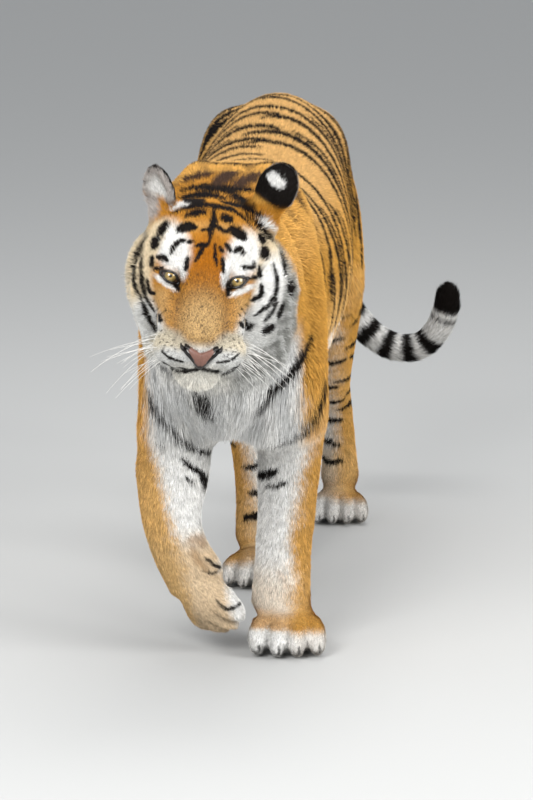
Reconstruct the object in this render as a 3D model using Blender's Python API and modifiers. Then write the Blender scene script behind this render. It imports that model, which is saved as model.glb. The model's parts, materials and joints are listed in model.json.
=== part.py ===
"""A walking tiger, life size, as a still museum model, built with Blender's modelling tools.

The body is lofted from named sections, merged and smoothed into one form, and then parted into
its named pieces with thin cuts. Metres, +Z up. The tiger faces -Y and its left side is +X.
The origin is on the floor, under the middle of the model's box.
"""

import math

import bmesh
import bpy
from mathutils import Matrix, Vector

# ---- Driving dimensions, metres and degrees -------------------------------------------------
VOXEL = 0.007  # grid of the merge that turns the lofts into one form
BODY_TRIANGLES = 3000  # kept in the merged form, before it is parted
FINE_PASSES, BROAD_PASSES, CHEST_PASSES = 4, 70, 90  # smoothing: all of it, the trunk, the chest
GAP = 0.0004  # clearance at each cut between two pieces
# How far a sleeve that cuts a limb off stands clear of the limb's own sections.
ROOM_ROUND_TAIL, ROOM_ROUND_ARM, ROOM_ROUND_THIGH = 0.008, 0.010, 0.014
RING_POINTS = 22  # corners in one loft section
STEPS = 4  # loft rings between two sections

EYE_MIDPOINT = Vector((-0.017, -0.50, 0.8120))  # halfway between the eyes
HEAD_PITCH, HEAD_YAW, HEAD_ROLL = 12.0, 7.0, 5.2  # nose down, towards its left, left ear down
EYE_CENTRE = (0.0618, 0.010, 0.0)  # side, forward, up in the head's frame
EYE_RADIUS = 0.0185
FORWARD = Vector((0, -1, 0))
UP = Vector((0, 0, 1))

# ---- Sections -------------------------------------------------------------------------------
# Each row is x, y, z of the section's middle, then its half width, and its reach towards and
# away from the loft's reference side (up for the trunk and head, forward for the legs).
TRUNK = [
    (-0.008, -0.235, 0.655, 0.094, 0.125, 0.120),
    (-0.010, -0.150, 0.655, 0.138, 0.215, 0.222),
    (-0.011, 0.000, 0.668, 0.158, 0.280, 0.262),
    (-0.011, 0.180, 0.658, 0.178, 0.268, 0.252),
    (-0.010, 0.380, 0.648, 0.196, 0.256, 0.240),
    (-0.006, 0.560, 0.656, 0.197, 0.264, 0.222),
    (0.000, 0.740, 0.692, 0.174, 0.266, 0.192),
    (0.003, 0.900, 0.718, 0.156, 0.256, 0.165),
    (0.003, 1.040, 0.740, 0.130, 0.208, 0.128),
    (0.002, 1.125, 0.766, 0.084, 0.122, 0.080),
]
NECK = [
    (-0.010, 0.060, 0.700, 0.148, 0.240, 0.220),
    (-0.010, -0.110, 0.718, 0.158, 0.224, 0.270),
    (-0.012, -0.230, 0.738, 0.160, 0.190, 0.260),
    (-0.016, -0.330, 0.764, 0.156, 0.158, 0.215),
    (-0.018, -0.410, 0.785, 0.138, 0.128, 0.165),
]
TAIL = [
    (0.000, 1.080, 0.840, 0.062, 0.062, 0.062),
    (0.002, 1.190, 0.795, 0.050, 0.050, 0.050),
    (0.015, 1.280, 0.700, 0.043, 0.043, 0.043),
    (0.055, 1.350, 0.560, 0.039, 0.039, 0.039),
    (0.108, 1.385, 0.430, 0.037, 0.037, 0.037),
    (0.168, 1.395, 0.352, 0.036, 0.036, 0.036),
    (0.229, 1.395, 0.320, 0.036, 0.036, 0.036),
    (0.284, 1.390, 0.327, 0.035, 0.035, 0.035),
    (0.322, 1.382, 0.368, 0.034, 0.034, 0.034),
    (0.340, 1.375, 0.416, 0.034, 0.034, 0.034),
    (0.343, 1.370, 0.448, 0.031, 0.031, 0.031),
]
FORELEG_LEFT = [
    (0.114, -0.010, 0.800, 0.045, 0.080, 0.090),
    (0.122, -0.070, 0.690, 0.058, 0.105, 0.120),
    (0.121, -0.070, 0.570, 0.065, 0.128, 0.115),
    (0.112, -0.024, 0.460, 0.071, 0.110, 0.088),
    (0.102, -0.030, 0.360, 0.067, 0.068, 0.068),
    (0.099, -0.045, 0.270, 0.061, 0.057, 0.057),
    (0.093, -0.055, 0.180, 0.059, 0.051, 0.052),
    (0.090, -0.070, 0.090, 0.061, 0.050, 0.050),
]
FORELEG_RIGHT = [
    (-0.118, -0.020, 0.800, 0.045, 0.080, 0.090),
    (-0.126, -0.095, 0.690, 0.058, 0.105, 0.120),
    (-0.126, -0.120, 0.570, 0.063, 0.100, 0.114),
    (-0.116, -0.105, 0.450, 0.077, 0.084, 0.090),
    (-0.116, -0.120, 0.360, 0.077, 0.066, 0.070),
    (-0.119, -0.140, 0.285, 0.063, 0.056, 0.058),
    (-0.104, -0.150, 0.220, 0.057, 0.048, 0.052),
    (-0.069, -0.144, 0.152, 0.061, 0.042, 0.046),
]
HINDLEG_LEFT = [
    (0.080, 0.975, 0.840, 0.055, 0.100, 0.125),
    (0.101, 0.955, 0.720, 0.072, 0.165, 0.190),
    (0.115, 0.925, 0.600, 0.074, 0.172, 0.150),
    (0.121, 0.908, 0.500, 0.063, 0.142, 0.130),
    (0.117, 0.937, 0.400, 0.050, 0.094, 0.086),
    (0.113, 1.000, 0.325, 0.041, 0.060, 0.055),
    (0.114, 1.070, 0.265, 0.037, 0.046, 0.048),
    (0.120, 1.085, 0.180, 0.038, 0.036, 0.038),
    (0.124, 1.070, 0.090, 0.044, 0.040, 0.042),
]
HINDLEG_RIGHT = [
    (-0.106, 0.940, 0.840, 0.055, 0.100, 0.130),
    (-0.122, 0.885, 0.720, 0.072, 0.195, 0.225),
    (-0.124, 0.787, 0.610, 0.072, 0.164, 0.158),
    (-0.108, 0.702, 0.510, 0.061, 0.117, 0.110),
    (-0.082, 0.660, 0.420, 0.048, 0.075, 0.076),
    (-0.054, 0.650, 0.320, 0.042, 0.055, 0.055),
    (-0.036, 0.630, 0.235, 0.038, 0.043, 0.050),
    (-0.023, 0.565, 0.155, 0.038, 0.036, 0.038),
    (-0.013, 0.503, 0.085, 0.042, 0.038, 0.040),
]
# The head's own frame: sideways, forward and up from the point halfway between the eyes.
SKULL = [
    (0, -0.230, -0.010, 0.090, 0.075, 0.110),
    (0, -0.160, 0.000, 0.110, 0.092, 0.140),
    (0, -0.090, 0.000, 0.114, 0.096, 0.145),
    (0, -0.030, -0.012, 0.110, 0.076, 0.135),
    (0, 0.020, -0.035, 0.088, 0.050, 0.115),
    (0, 0.070, -0.066, 0.074, 0.046, 0.088),
    (0, 0.115, -0.086, 0.066, 0.036, 0.062),
    (0, 0.145, -0.094, 0.048, 0.026, 0.040),
]
NOSE_BRIDGE = [
    (0, -0.050, 0.050, 0.050, 0.022, 0.050),
    (0, 0.000, 0.026, 0.043, 0.021, 0.050),
    (0, 0.055, -0.006, 0.044, 0.021, 0.050),
    (0, 0.105, -0.037, 0.043, 0.020, 0.050),
    (0, 0.145, -0.066, 0.037, 0.018, 0.036),
]
JAW = [
    (0, -0.110, -0.095, 0.098, 0.050, 0.070),
    (0, -0.040, -0.120, 0.086, 0.045, 0.055),
    (0, 0.040, -0.138, 0.061, 0.036, 0.042),
    (0, 0.095, -0.146, 0.047, 0.030, 0.036),
    (0, 0.126, -0.146, 0.036, 0.024, 0.028),
]
# Soft masses on both sides of the head: middle, then radii, all as side, forward, up.
HEAD_PAIRS = {
    "whisker_pad": ((0.044, 0.102, -0.101), (0.044, 0.054, 0.037)),
    "muzzle_side": ((0.047, 0.060, -0.066), (0.036, 0.074, 0.048)),
    "cheek": ((0.080, -0.060, -0.056), (0.054, 0.090, 0.078)),
    "brow": ((0.048, -0.026, 0.040), (0.040, 0.034, 0.024)),
}
# The ruff of long hair behind each cheek, then the mound under each ear: middle and radii, as
# side, forward, up.
RUFFS = {
    "right": ((-0.092, -0.130, -0.056), (0.048, 0.062, 0.090)),
    "left": ((0.100, -0.130, -0.066), (0.050, 0.062, 0.096)),
}
EAR_ROOTS = {
    "right": ((-0.076, -0.145, 0.066), (0.034, 0.042, 0.040)),
    "left": ((0.102, -0.142, 0.066), (0.042, 0.050, 0.046)),
}
# The pit that an eye sits in, and the pad of the nose: middle and radii.
EYE_PIT = ((0.0635, 0.036, -0.001), (0.0185, 0.020, 0.0118))
NOSE_PAD = ((0.0, 0.144, -0.086), (0.038, 0.022, 0.024))
# Each ear: its middle in the head's frame, half width, half depth and half height, its lean
# outwards, and its turn about its own height.
EARS = {
    "right": ((-0.091, -0.125, 0.112), (0.036, 0.022, 0.055), 14.0, 35.0),
    "left": ((0.126, -0.130, 0.133), (0.044, 0.022, 0.056), 22.0, 152.0),
}
EAR_WALL, EAR_HOLLOW = 0.0085, 0.024  # rim left round an ear's hollow, and the hollow's shift forwards
# Muscles on both sides of the trunk: middle, radii, tilt about X in degrees.
TRUNK_PAIRS = {
    "shoulder_blade": ((0.104, 0.020, 0.750), (0.068, 0.115, 0.172), 14.0),
    "withers": ((0.066, 0.030, 0.822), (0.068, 0.160, 0.132), 0.0),
    "breast": ((0.074, -0.140, 0.510), (0.066, 0.085, 0.095), -20.0),
    "rump": ((0.084, 0.950, 0.790), (0.084, 0.170, 0.140), -12.0),
}
TRUNK_SHIFT = -0.010  # the trunk's midline, a little to the tiger's right of the head's

# The lifted forepaw: where its heel is, which way its toes point, and its turn about them.
LIFTED_PLACE, LIFTED_TOES, LIFTED_TURN = (-0.038, -0.110, 0.134), (0.50, 0.06, -0.864), math.radians(35)
LIFTED_SIZE, LIFTED_SPREAD = 0.96, 0.70  # against the left forepaw, and its width against its length
# Each paw on the floor: x, y of its heel, its outward turn in degrees, and its size against the
# left forepaw.
STANDING_PAWS = {
    "fore_left": (0.107, -0.092, 3, 1.0),
    "hind_left": (0.123, 1.050, 6, 0.82),
    "hind_right": (-0.008, 0.448, -2, 0.84),
}


# ---- Building tools -------------------------------------------------------------------------
def head_frame():
    """From the head's own frame, with y backwards, to the design frame."""
    turn = (
        Matrix.Rotation(math.radians(HEAD_YAW), 4, "Z")
        @ Matrix.Rotation(math.radians(HEAD_PITCH), 4, "X")
        @ Matrix.Rotation(math.radians(HEAD_ROLL), 4, "Y")
    )
    return Matrix.Translation(EYE_MIDPOINT) @ turn


def in_head(side, forward, up):
    return Vector((side, -forward, up))


def spline(rows, steps):
    """Catmull-Rom rows between the given rows, both ends kept."""
    padded = [rows[0], *rows, rows[-1]]
    found = []
    for a, b, c, d in zip(padded, padded[1:], padded[2:], padded[3:]):
        for i in range(steps):
            t = i / steps
            weights = (
                -0.5 * t + t * t - 0.5 * t**3,
                1 - 2.5 * t * t + 1.5 * t**3,
                0.5 * t + 2 * t * t - 1.5 * t**3,
                -0.5 * t * t + 0.5 * t**3,
            )
            found.append([sum(w * row[k] for w, row in zip(weights, (a, b, c, d))) for k in range(6)])
    return [*found, list(rows[-1])]


def loft(form, sections, towards, frame=None, steps=STEPS, square=1.0, swell=0.0, corners=RING_POINTS):
    """Adds a closed loft through the sections to the bmesh, with rounded ends.

    square under 1 fills the sections' corners, swell adds to every width and reach, steps is the
    number of rings between two sections, and corners the number of points in a ring.
    """
    rows = spline(sections, steps)
    middles = [Vector(row[:3]) for row in rows]
    normal = Vector(towards)
    rings = []
    for i, row in enumerate(rows):
        along = (middles[min(i + 1, len(rows) - 1)] - middles[max(i - 1, 0)]).normalized()
        normal = (normal - along * normal.dot(along)).normalized()
        rings.append((middles[i], along, normal.copy(), normal.cross(along), [w + swell for w in row[3:]]))
    ends = []
    for ring, way in ((rings[0], -1), (rings[-1], 1)):
        depth = min(ring[4]) * 0.8
        caps = []
        for degrees in (30, 55, 78):
            angle = math.radians(degrees)
            shift = ring[1] * (way * depth * math.sin(angle))
            sizes = [size * math.cos(angle) for size in ring[4]]
            caps.append((ring[0] + shift, ring[1], ring[2], ring[3], sizes))
        ends.append(caps)
    rings = [*reversed(ends[0]), *rings, *ends[1]]
    loops = []
    for middle, _, normal, across, (width, near, far) in rings:
        loop = []
        for k in range(corners):
            angle = 2 * math.pi * k / corners
            out = math.copysign(abs(math.cos(angle)) ** square, math.cos(angle))
            rise = math.copysign(abs(math.sin(angle)) ** square, math.sin(angle))
            reach = near if rise > 0 else far
            point = middle + across * (width * out) + normal * (reach * rise)
            loop.append(form.verts.new(frame @ point if frame else point))
        loops.append(loop)
    made = []
    for one, two in zip(loops, loops[1:]):
        for k in range(corners):
            n = (k + 1) % corners
            made.append(form.faces.new((one[k], one[n], two[n], two[k])))
    made.append(form.faces.new(loops[0]))
    made.append(form.faces.new(loops[-1]))
    bmesh.ops.recalc_face_normals(form, faces=made)


def ellipsoid(form, middle, radii, turn=None, swell=0.0, rings=12):
    """Adds an ellipsoid to the bmesh, of that many rings. turn is a 4x4 that places it."""
    place = (turn or Matrix()) @ Matrix.Translation(middle)
    size = Matrix.Diagonal((*[radius + swell for radius in radii], 1))
    bmesh.ops.create_uvsphere(
        form, u_segments=rings + rings // 3, v_segments=rings, radius=1.0, matrix=place @ size
    )


def block(form, low, high, turn=None, swell=0.0):
    """Adds a box between two corners to the bmesh. turn is a 4x4 that places it."""
    low, high = Vector(low), Vector(high)
    size = high - low + Vector((2, 2, 2)) * swell
    place = (turn or Matrix()) @ Matrix.Translation((low + high) / 2)
    bmesh.ops.create_cube(form, size=1.0, matrix=place @ Matrix.Diagonal((*size, 1)))


def add_object(name, form, collection):
    """A mesh object made from the bmesh, which is freed."""
    mesh = bpy.data.meshes.new(name)
    form.to_mesh(mesh)
    form.free()
    made = bpy.data.objects.new(name, mesh)
    collection.objects.link(made)
    return made


def evaluated(obj, name, collection):
    """A new mesh object with the modifiers of obj applied. obj is removed."""
    graph = bpy.context.evaluated_depsgraph_get()
    mesh = bpy.data.meshes.new_from_object(obj.evaluated_get(graph))
    mesh.name = name
    bpy.data.objects.remove(obj)
    made = bpy.data.objects.new(name, mesh)
    collection.objects.link(made)
    return made


def boolean(obj, other, operation, name, collection):
    """A new object, what the operation makes of obj and other. Both are kept."""
    made = bpy.data.objects.new(name, obj.data.copy())
    collection.objects.link(made)
    cut = made.modifiers.new("cut", "BOOLEAN")
    cut.operation = operation
    cut.solver = "EXACT"
    cut.object = other
    return tidied(evaluated(made, name, collection))


def tidied(obj):
    """Welds slivers and keeps only the largest body of the object."""
    form = bmesh.new()
    form.from_mesh(obj.data)
    bmesh.ops.remove_doubles(form, verts=form.verts, dist=2e-5)
    bmesh.ops.dissolve_degenerate(form, edges=form.edges, dist=2e-5)
    bmesh.ops.triangulate(form, faces=form.faces)
    left = set(form.verts)
    bodies = []
    while left:
        body = {left.pop()}
        front = list(body)
        while front:
            for edge in front.pop().link_edges:
                for vert in edge.verts:
                    if vert in left:
                        left.discard(vert)
                        body.add(vert)
                        front.append(vert)
        bodies.append(body)
    largest = max(bodies, key=len)
    bmesh.ops.delete(form, geom=[v for v in form.verts if v not in largest], context="VERTS")
    form.to_mesh(obj.data)
    form.free()
    return obj


# ---- The animal's forms ---------------------------------------------------------------------
def paw(form, place, size, spread=1.0):
    """A paw with four toes. place is its frame: x across, -y forward, z up from the sole."""
    frame = place @ Matrix.Diagonal((size * spread, size, size, 1))
    ellipsoid(form, (0, 0.005, 0.040), (0.066, 0.076, 0.054), frame)
    for i in range(4):
        across = (i - 1.5) * 0.037
        reach = 0.092 - 0.009 * abs(i - 1.5) ** 1.5
        toe = [
            (across * 0.80, 0.000, 0.056, 0.020, 0.022, 0.040),
            (across * 0.98, -reach + 0.036, 0.052, 0.0215, 0.021, 0.060),
            (across * 1.06, -reach + 0.016, 0.036, 0.0210, 0.020, 0.052),
            (across * 1.08, -reach + 0.005, 0.022, 0.0170, 0.018, 0.034),
        ]
        loft(form, toe, UP, frame, steps=3)


def standing_paw(x, y, turn):
    """The frame of a paw flat on the floor. turn is its outward turn in degrees."""
    return Matrix.Translation((x, y, 0)) @ Matrix.Rotation(math.radians(turn), 4, "Z")


def lifted_paw():
    """The frame of the right forepaw, hanging from the bent wrist with its back to the front."""
    forward = Vector(LIFTED_TOES).normalized()
    upward = Vector((-math.sin(LIFTED_TURN), -math.cos(LIFTED_TURN), 0))
    upward = (upward - forward * upward.dot(forward)).normalized()
    turn = Matrix((upward.cross(-forward), -forward, upward)).transposed().to_4x4()
    return Matrix.Translation(LIFTED_PLACE) @ turn


def ear_frame(side):
    """The frame of one ear: x along its width, y through it, z along its height."""
    middle, _, lean, turn = EARS[side]
    outwards = math.copysign(1, middle[0])
    return (
        head_frame()
        @ Matrix.Translation(in_head(*middle))
        @ Matrix.Rotation(math.radians(lean * outwards), 4, "Y")
        @ Matrix.Rotation(math.radians(turn * outwards), 4, "Z")
    )


def add_ear(side, collection):
    """An ear: a flat egg with its front hollowed by a smaller one."""
    width, depth, height = EARS[side][1]
    form = bmesh.new()
    ellipsoid(form, (0, 0, 0), (width, depth, height), ear_frame(side))
    ear = add_object("ear_form_" + side, form, collection)
    form = bmesh.new()
    radii = (width - EAR_WALL, depth + 0.004, height - EAR_WALL)
    ellipsoid(form, (0, -EAR_HOLLOW, 0.004), radii, ear_frame(side))
    hollow = add_object("ear_hollow_" + side, form, collection)
    made = boolean(ear, hollow, "DIFFERENCE", "ear_cup_" + side, collection)
    bpy.data.objects.remove(ear)
    bpy.data.objects.remove(hollow)
    return made


def add_body_form(collection):
    """All the lofts and masses of flesh as one object of overlapping closed shells."""
    form = bmesh.new()
    loft(form, TRUNK, UP)
    loft(form, NECK, UP)
    loft(form, TAIL, UP)
    for leg in (FORELEG_LEFT, FORELEG_RIGHT, HINDLEG_LEFT, HINDLEG_RIGHT):
        loft(form, leg, FORWARD)
    for x, y, turn, size in STANDING_PAWS.values():
        paw(form, standing_paw(x, y, turn), size)
    paw(form, lifted_paw(), LIFTED_SIZE, LIFTED_SPREAD)
    for middle, radii, tilt in TRUNK_PAIRS.values():
        for side in (-1, 1):
            place = Matrix.Translation((middle[0] * side + TRUNK_SHIFT, middle[1], middle[2]))
            ellipsoid(form, (0, 0, 0), radii, place @ Matrix.Rotation(math.radians(tilt), 4, "X"))
    frame = head_frame()
    for sections in (SKULL, NOSE_BRIDGE, JAW):
        rows = [(s, -f, u, *sizes) for s, f, u, *sizes in sections]
        loft(form, rows, UP, frame, square=0.85)
    for middle, radii in (*EAR_ROOTS.values(), *RUFFS.values()):
        ellipsoid(form, in_head(*middle), radii, frame)
    for (s, f, u), radii in HEAD_PAIRS.values():
        for side in (-1, 1):
            ellipsoid(form, in_head(s * side, f, u), radii, frame)
    ellipsoid(form, in_head(*NOSE_PAD[0]), NOSE_PAD[1], frame)
    body = add_object("body_form", form, collection)
    ears = [add_ear(side, collection) for side in EARS]
    with bpy.context.temp_override(
        active_object=body, selected_editable_objects=[body, *ears], selected_objects=[body, *ears]
    ):
        bpy.ops.object.join()
    return body


def ramp(value, low, high):
    """0 below low, 1 above high, smooth between them."""
    t = min(max((value - low) / (high - low), 0.0), 1.0)
    return t * t * (3 - 2 * t)


def muscle_share(point, to_head):
    """How far a point of the surface belongs to the trunk's broad, soft forms, from 0 to 1."""
    forward = -(to_head @ point).y
    low_leg = 1 - ramp(point.z, 0.34, 0.46)
    tail = ramp(point.y, 1.16, 1.24)
    return (1 - ramp(forward, -0.27, -0.17)) * (1 - low_leg) * (1 - tail)


def chest_share(point):
    """How far a point belongs to the front of the chest, where the legs and the throat run together."""
    return ramp(point.z, 0.36, 0.44) * (1 - ramp(point.z, 0.60, 0.70)) * (1 - ramp(point.y, -0.02, 0.10))


def merged_body(collection):
    """The body as one smooth closed surface, still whole, standing on flats at floor level."""
    body = add_body_form(collection)
    remesh = body.modifiers.new("merge", "REMESH")
    remesh.mode = "VOXEL"
    remesh.voxel_size = VOXEL
    body = evaluated(body, "body", collection)
    muscle = body.vertex_groups.new(name="muscle")
    chest = body.vertex_groups.new(name="chest")
    to_head = head_frame().inverted()
    for vert in body.data.vertices:
        muscle.add([vert.index], muscle_share(vert.co, to_head), "REPLACE")
        chest.add([vert.index], chest_share(vert.co), "REPLACE")
    for passes, group in ((BROAD_PASSES, "muscle"), (CHEST_PASSES, "chest"), (FINE_PASSES, "")):
        smooth = body.modifiers.new("soften" + group, "SMOOTH")
        smooth.factor = 0.5
        smooth.iterations = passes
        smooth.vertex_group = group
    thin = body.modifiers.new("thin", "DECIMATE")
    thin.ratio = BODY_TRIANGLES / (2 * len(body.data.polygons))
    body = tidied(evaluated(body, "body", collection))
    form = bmesh.new()
    block(form, (-1, -1, -0.2), (1, 2, 0))
    (side, forward, up), radii = EYE_PIT
    for way in (-1, 1):
        ellipsoid(form, in_head(side * way, forward, up), radii, head_frame())
    away = add_object("floor_and_eye_pits", form, collection)
    standing = boolean(body, away, "DIFFERENCE", "standing", collection)
    bpy.data.objects.remove(body)
    bpy.data.objects.remove(away)
    return standing


# ---- Parting --------------------------------------------------------------------------------
# A cutter is a function that adds its shape to a bmesh, swollen by a clearance.
def boxed(low, high, frame=None):
    """A cutter that is a box between two corners."""
    return lambda form, swell: block(form, low, high, frame, swell)


def rounded(middle, radii, frame=None):
    """A cutter that is an ellipsoid."""
    return lambda form, swell: ellipsoid(form, middle, radii, frame, swell, rings=9)


def sleeve(sections, towards, room):
    """A cutter that follows a limb's sections with some room round them."""
    return lambda form, swell: loft(form, sections, towards, steps=1, swell=room + swell, corners=10)


def head_box(side, forward, up):
    """A box in the head's frame between two limits on each of its directions."""
    return boxed((side[0], -forward[1], up[0]), (side[1], -forward[0], up[1]), head_frame())


def tilted_box(middle, tilt, low, high):
    """A box about a middle, tilted about X by that many degrees."""
    return boxed(low, high, Matrix.Translation(middle) @ Matrix.Rotation(math.radians(tilt), 4, "X"))


def cuts():
    """The pieces in the order in which they are cut from the body, with their cutters."""
    head = head_frame()
    nose_middle = in_head(0, 0.164, -0.087)
    return {
        "eye_left": rounded(in_head(*EYE_CENTRE), [EYE_RADIUS] * 3, head),
        "eye_right": rounded(in_head(-EYE_CENTRE[0], *EYE_CENTRE[1:]), [EYE_RADIUS] * 3, head),
        "nose": rounded(nose_middle, (0.040, 0.028, 0.024), head),
        "lower_jaw": head_box((-0.10, 0.10), (0.020, 0.25), (-0.25, -0.136)),
        "ear_left": head_box((0.02, 0.30), (-0.21, -0.06), (0.112, 0.30)),
        "ear_right": head_box((-0.30, -0.055), (-0.21, -0.06), (0.098, 0.30)),
        "head": head_box((-0.30, 0.30), (-0.175, 0.30), (-0.185, 0.30)),
        "tail_tip": boxed((0.262, 1.25, 0.1), (0.5, 1.6, 0.7)),
        "tail_middle": boxed((-0.2, 1.25, 0.1), (0.3, 1.6, 0.560)),
        "tail_base": sleeve(TAIL[1:4], UP, ROOM_ROUND_TAIL),
        "forefoot_left": boxed((0.0, -0.3, -0.1), (0.3, 0.2, 0.150)),
        "forearm_left": boxed((0.0, -0.3, -0.1), (0.3, 0.2, 0.395)),
        "forefoot_right": boxed((-0.3, -0.3, -0.1), (0.1, 0.2, 0.245)),
        "forearm_right": boxed((-0.3, -0.3, -0.1), (0.0, 0.2, 0.395)),
        "hindfoot_left": boxed((0.0, 0.8, -0.1), (0.3, 1.25, 0.255)),
        "shank_left": boxed((0.0, 0.7, -0.1), (0.3, 1.25, 0.460)),
        "hindfoot_right": boxed((-0.3, 0.3, -0.1), (0.2, 0.9, 0.225)),
        "shank_right": boxed((-0.3, 0.3, -0.1), (0.2, 0.9, 0.395)),
        "upper_arm_left": sleeve(FORELEG_LEFT[1:5], FORWARD, ROOM_ROUND_ARM),
        "upper_arm_right": sleeve(FORELEG_RIGHT[1:5], FORWARD, ROOM_ROUND_ARM),
        "thigh_left": sleeve(HINDLEG_LEFT[1:5], FORWARD, ROOM_ROUND_THIGH),
        "thigh_right": sleeve(HINDLEG_RIGHT[1:5], FORWARD, ROOM_ROUND_THIGH),
        "neck": tilted_box((0, -0.14, 0.70), 16.0, (-0.4, -0.6, -0.5), (0.4, 0.0, 0.5)),
        "chest": boxed((-0.4, -0.4, 0.2), (0.4, 0.300, 1.2)),
        "abdomen": boxed((-0.4, 0.0, 0.2), (0.4, 0.680, 1.2)),
    }


def part_body(body, collection):
    """Cuts the body into its named pieces, and names what is left the hindquarters."""
    rest = body
    for name, cutter in cuts().items():
        tools = []
        for swell in (0.0, GAP):
            form = bmesh.new()
            cutter(form, swell)
            tools.append(add_object("cutter_" + name, form, collection))
        if not name.startswith("eye"):
            boolean(rest, tools[0], "INTERSECT", name, collection)
        smaller = boolean(rest, tools[1], "DIFFERENCE", "rest", collection)
        for used in (rest, tools[1]):
            bpy.data.objects.remove(used)
        if name.startswith("eye"):
            tools[0].name = tools[0].data.name = name
        else:
            bpy.data.objects.remove(tools[0])
        rest = smaller
    rest.name = rest.data.name = "hindquarters"


# ---- Finish ---------------------------------------------------------------------------------
COATS = {
    "orange_coat": ((0.62, 0.27, 0.07), 0.85),
    "white_coat": ((0.78, 0.74, 0.66), 0.85),
    "banded_coat": ((0.42, 0.36, 0.30), 0.85),
    "nose_leather": ((0.45, 0.20, 0.17), 0.55),
    "wet_eye": ((0.45, 0.33, 0.07), 0.10),
}
COAT_OF = {"nose": "nose_leather", "eye": "wet_eye", "tail": "banded_coat", "lower_jaw": "white_coat"}


def material_of(name):
    """The piece's own material, in the colour of its coat."""
    coat = next((COAT_OF[key] for key in COAT_OF if name.startswith(key)), "orange_coat")
    colour, roughness = COATS[coat]
    material = bpy.data.materials.new(name + "_finish")
    material.use_nodes = True
    shader = material.node_tree.nodes["Principled BSDF"]
    shader.inputs["Base Color"].default_value = (*colour, 1)
    shader.inputs["Roughness"].default_value = roughness
    shader.inputs["Metallic"].default_value = 0.0
    return material


def centre_on_floor(pieces):
    """Moves every piece so that the origin is on the floor under the middle of the whole."""
    corners = [vert.co for piece in pieces for vert in piece.data.vertices]
    lows = [min(corner[axis] for corner in corners) for axis in range(3)]
    highs = [max(corner[axis] for corner in corners) for axis in range(3)]
    move = Vector((-(lows[0] + highs[0]) / 2, -(lows[1] + highs[1]) / 2, -lows[2]))
    for piece in pieces:
        piece.data.transform(Matrix.Translation(move))


def main():
    for obj in list(bpy.data.objects):
        bpy.data.objects.remove(obj)
    collection = bpy.data.collections.new("tiger")
    bpy.context.scene.collection.children.link(collection)
    part_body(merged_body(collection), collection)
    pieces = list(collection.objects)
    centre_on_floor(pieces)
    for piece in pieces:
        piece.data.materials.clear()
        piece.data.materials.append(material_of(piece.name))
        piece.data.shade_smooth()
        piece.data.set_sharp_from_angle(angle=math.radians(50))


main()
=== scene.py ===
"""The looks of the walking tiger: one skin, its coat of modelled hair, eyes, nose and whiskers.

The forms are worked out in the design frame of the CAD model, in metres with +Z up and the tiger
facing -Y, and every finished piece is moved from there to the row frame by design_shift().
"""

import json
import math

import bmesh
import bpy
import numpy as np
from mathutils import Matrix, Vector

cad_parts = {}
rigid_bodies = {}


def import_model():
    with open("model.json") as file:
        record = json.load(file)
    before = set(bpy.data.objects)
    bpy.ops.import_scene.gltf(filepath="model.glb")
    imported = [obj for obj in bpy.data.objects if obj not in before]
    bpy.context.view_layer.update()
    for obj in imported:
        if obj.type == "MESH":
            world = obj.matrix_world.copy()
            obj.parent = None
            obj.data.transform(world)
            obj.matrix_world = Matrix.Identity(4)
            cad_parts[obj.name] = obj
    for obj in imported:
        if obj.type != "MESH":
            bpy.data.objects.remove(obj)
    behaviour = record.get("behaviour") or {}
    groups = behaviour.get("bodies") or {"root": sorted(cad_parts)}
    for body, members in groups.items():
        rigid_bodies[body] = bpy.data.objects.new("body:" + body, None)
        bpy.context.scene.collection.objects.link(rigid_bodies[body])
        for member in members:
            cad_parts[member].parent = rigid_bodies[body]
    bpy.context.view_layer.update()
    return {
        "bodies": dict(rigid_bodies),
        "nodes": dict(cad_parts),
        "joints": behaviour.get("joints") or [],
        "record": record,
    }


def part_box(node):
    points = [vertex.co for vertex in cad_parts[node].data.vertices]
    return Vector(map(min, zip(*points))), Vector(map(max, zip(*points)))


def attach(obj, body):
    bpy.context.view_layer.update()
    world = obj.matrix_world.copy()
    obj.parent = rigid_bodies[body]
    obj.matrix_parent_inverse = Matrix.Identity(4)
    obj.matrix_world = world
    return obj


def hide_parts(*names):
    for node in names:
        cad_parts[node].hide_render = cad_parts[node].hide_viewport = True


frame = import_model()

SEED = 7

# ---- The CAD model's sections, in metres -----------------------------------------------------
EYE_MIDPOINT = Vector((-0.017, -0.50, 0.8120))  # halfway between the eyes
HEAD_PITCH, HEAD_YAW, HEAD_ROLL = 12.0, 7.0, 5.2  # nose down, towards its left, left ear down
EYE_CENTRE = (0.0618, 0.010, 0.0)  # side, forward, up in the head's frame
EYE_RADIUS = 0.0185
FORWARD = Vector((0, -1, 0))
UP = Vector((0, 0, 1))

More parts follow.
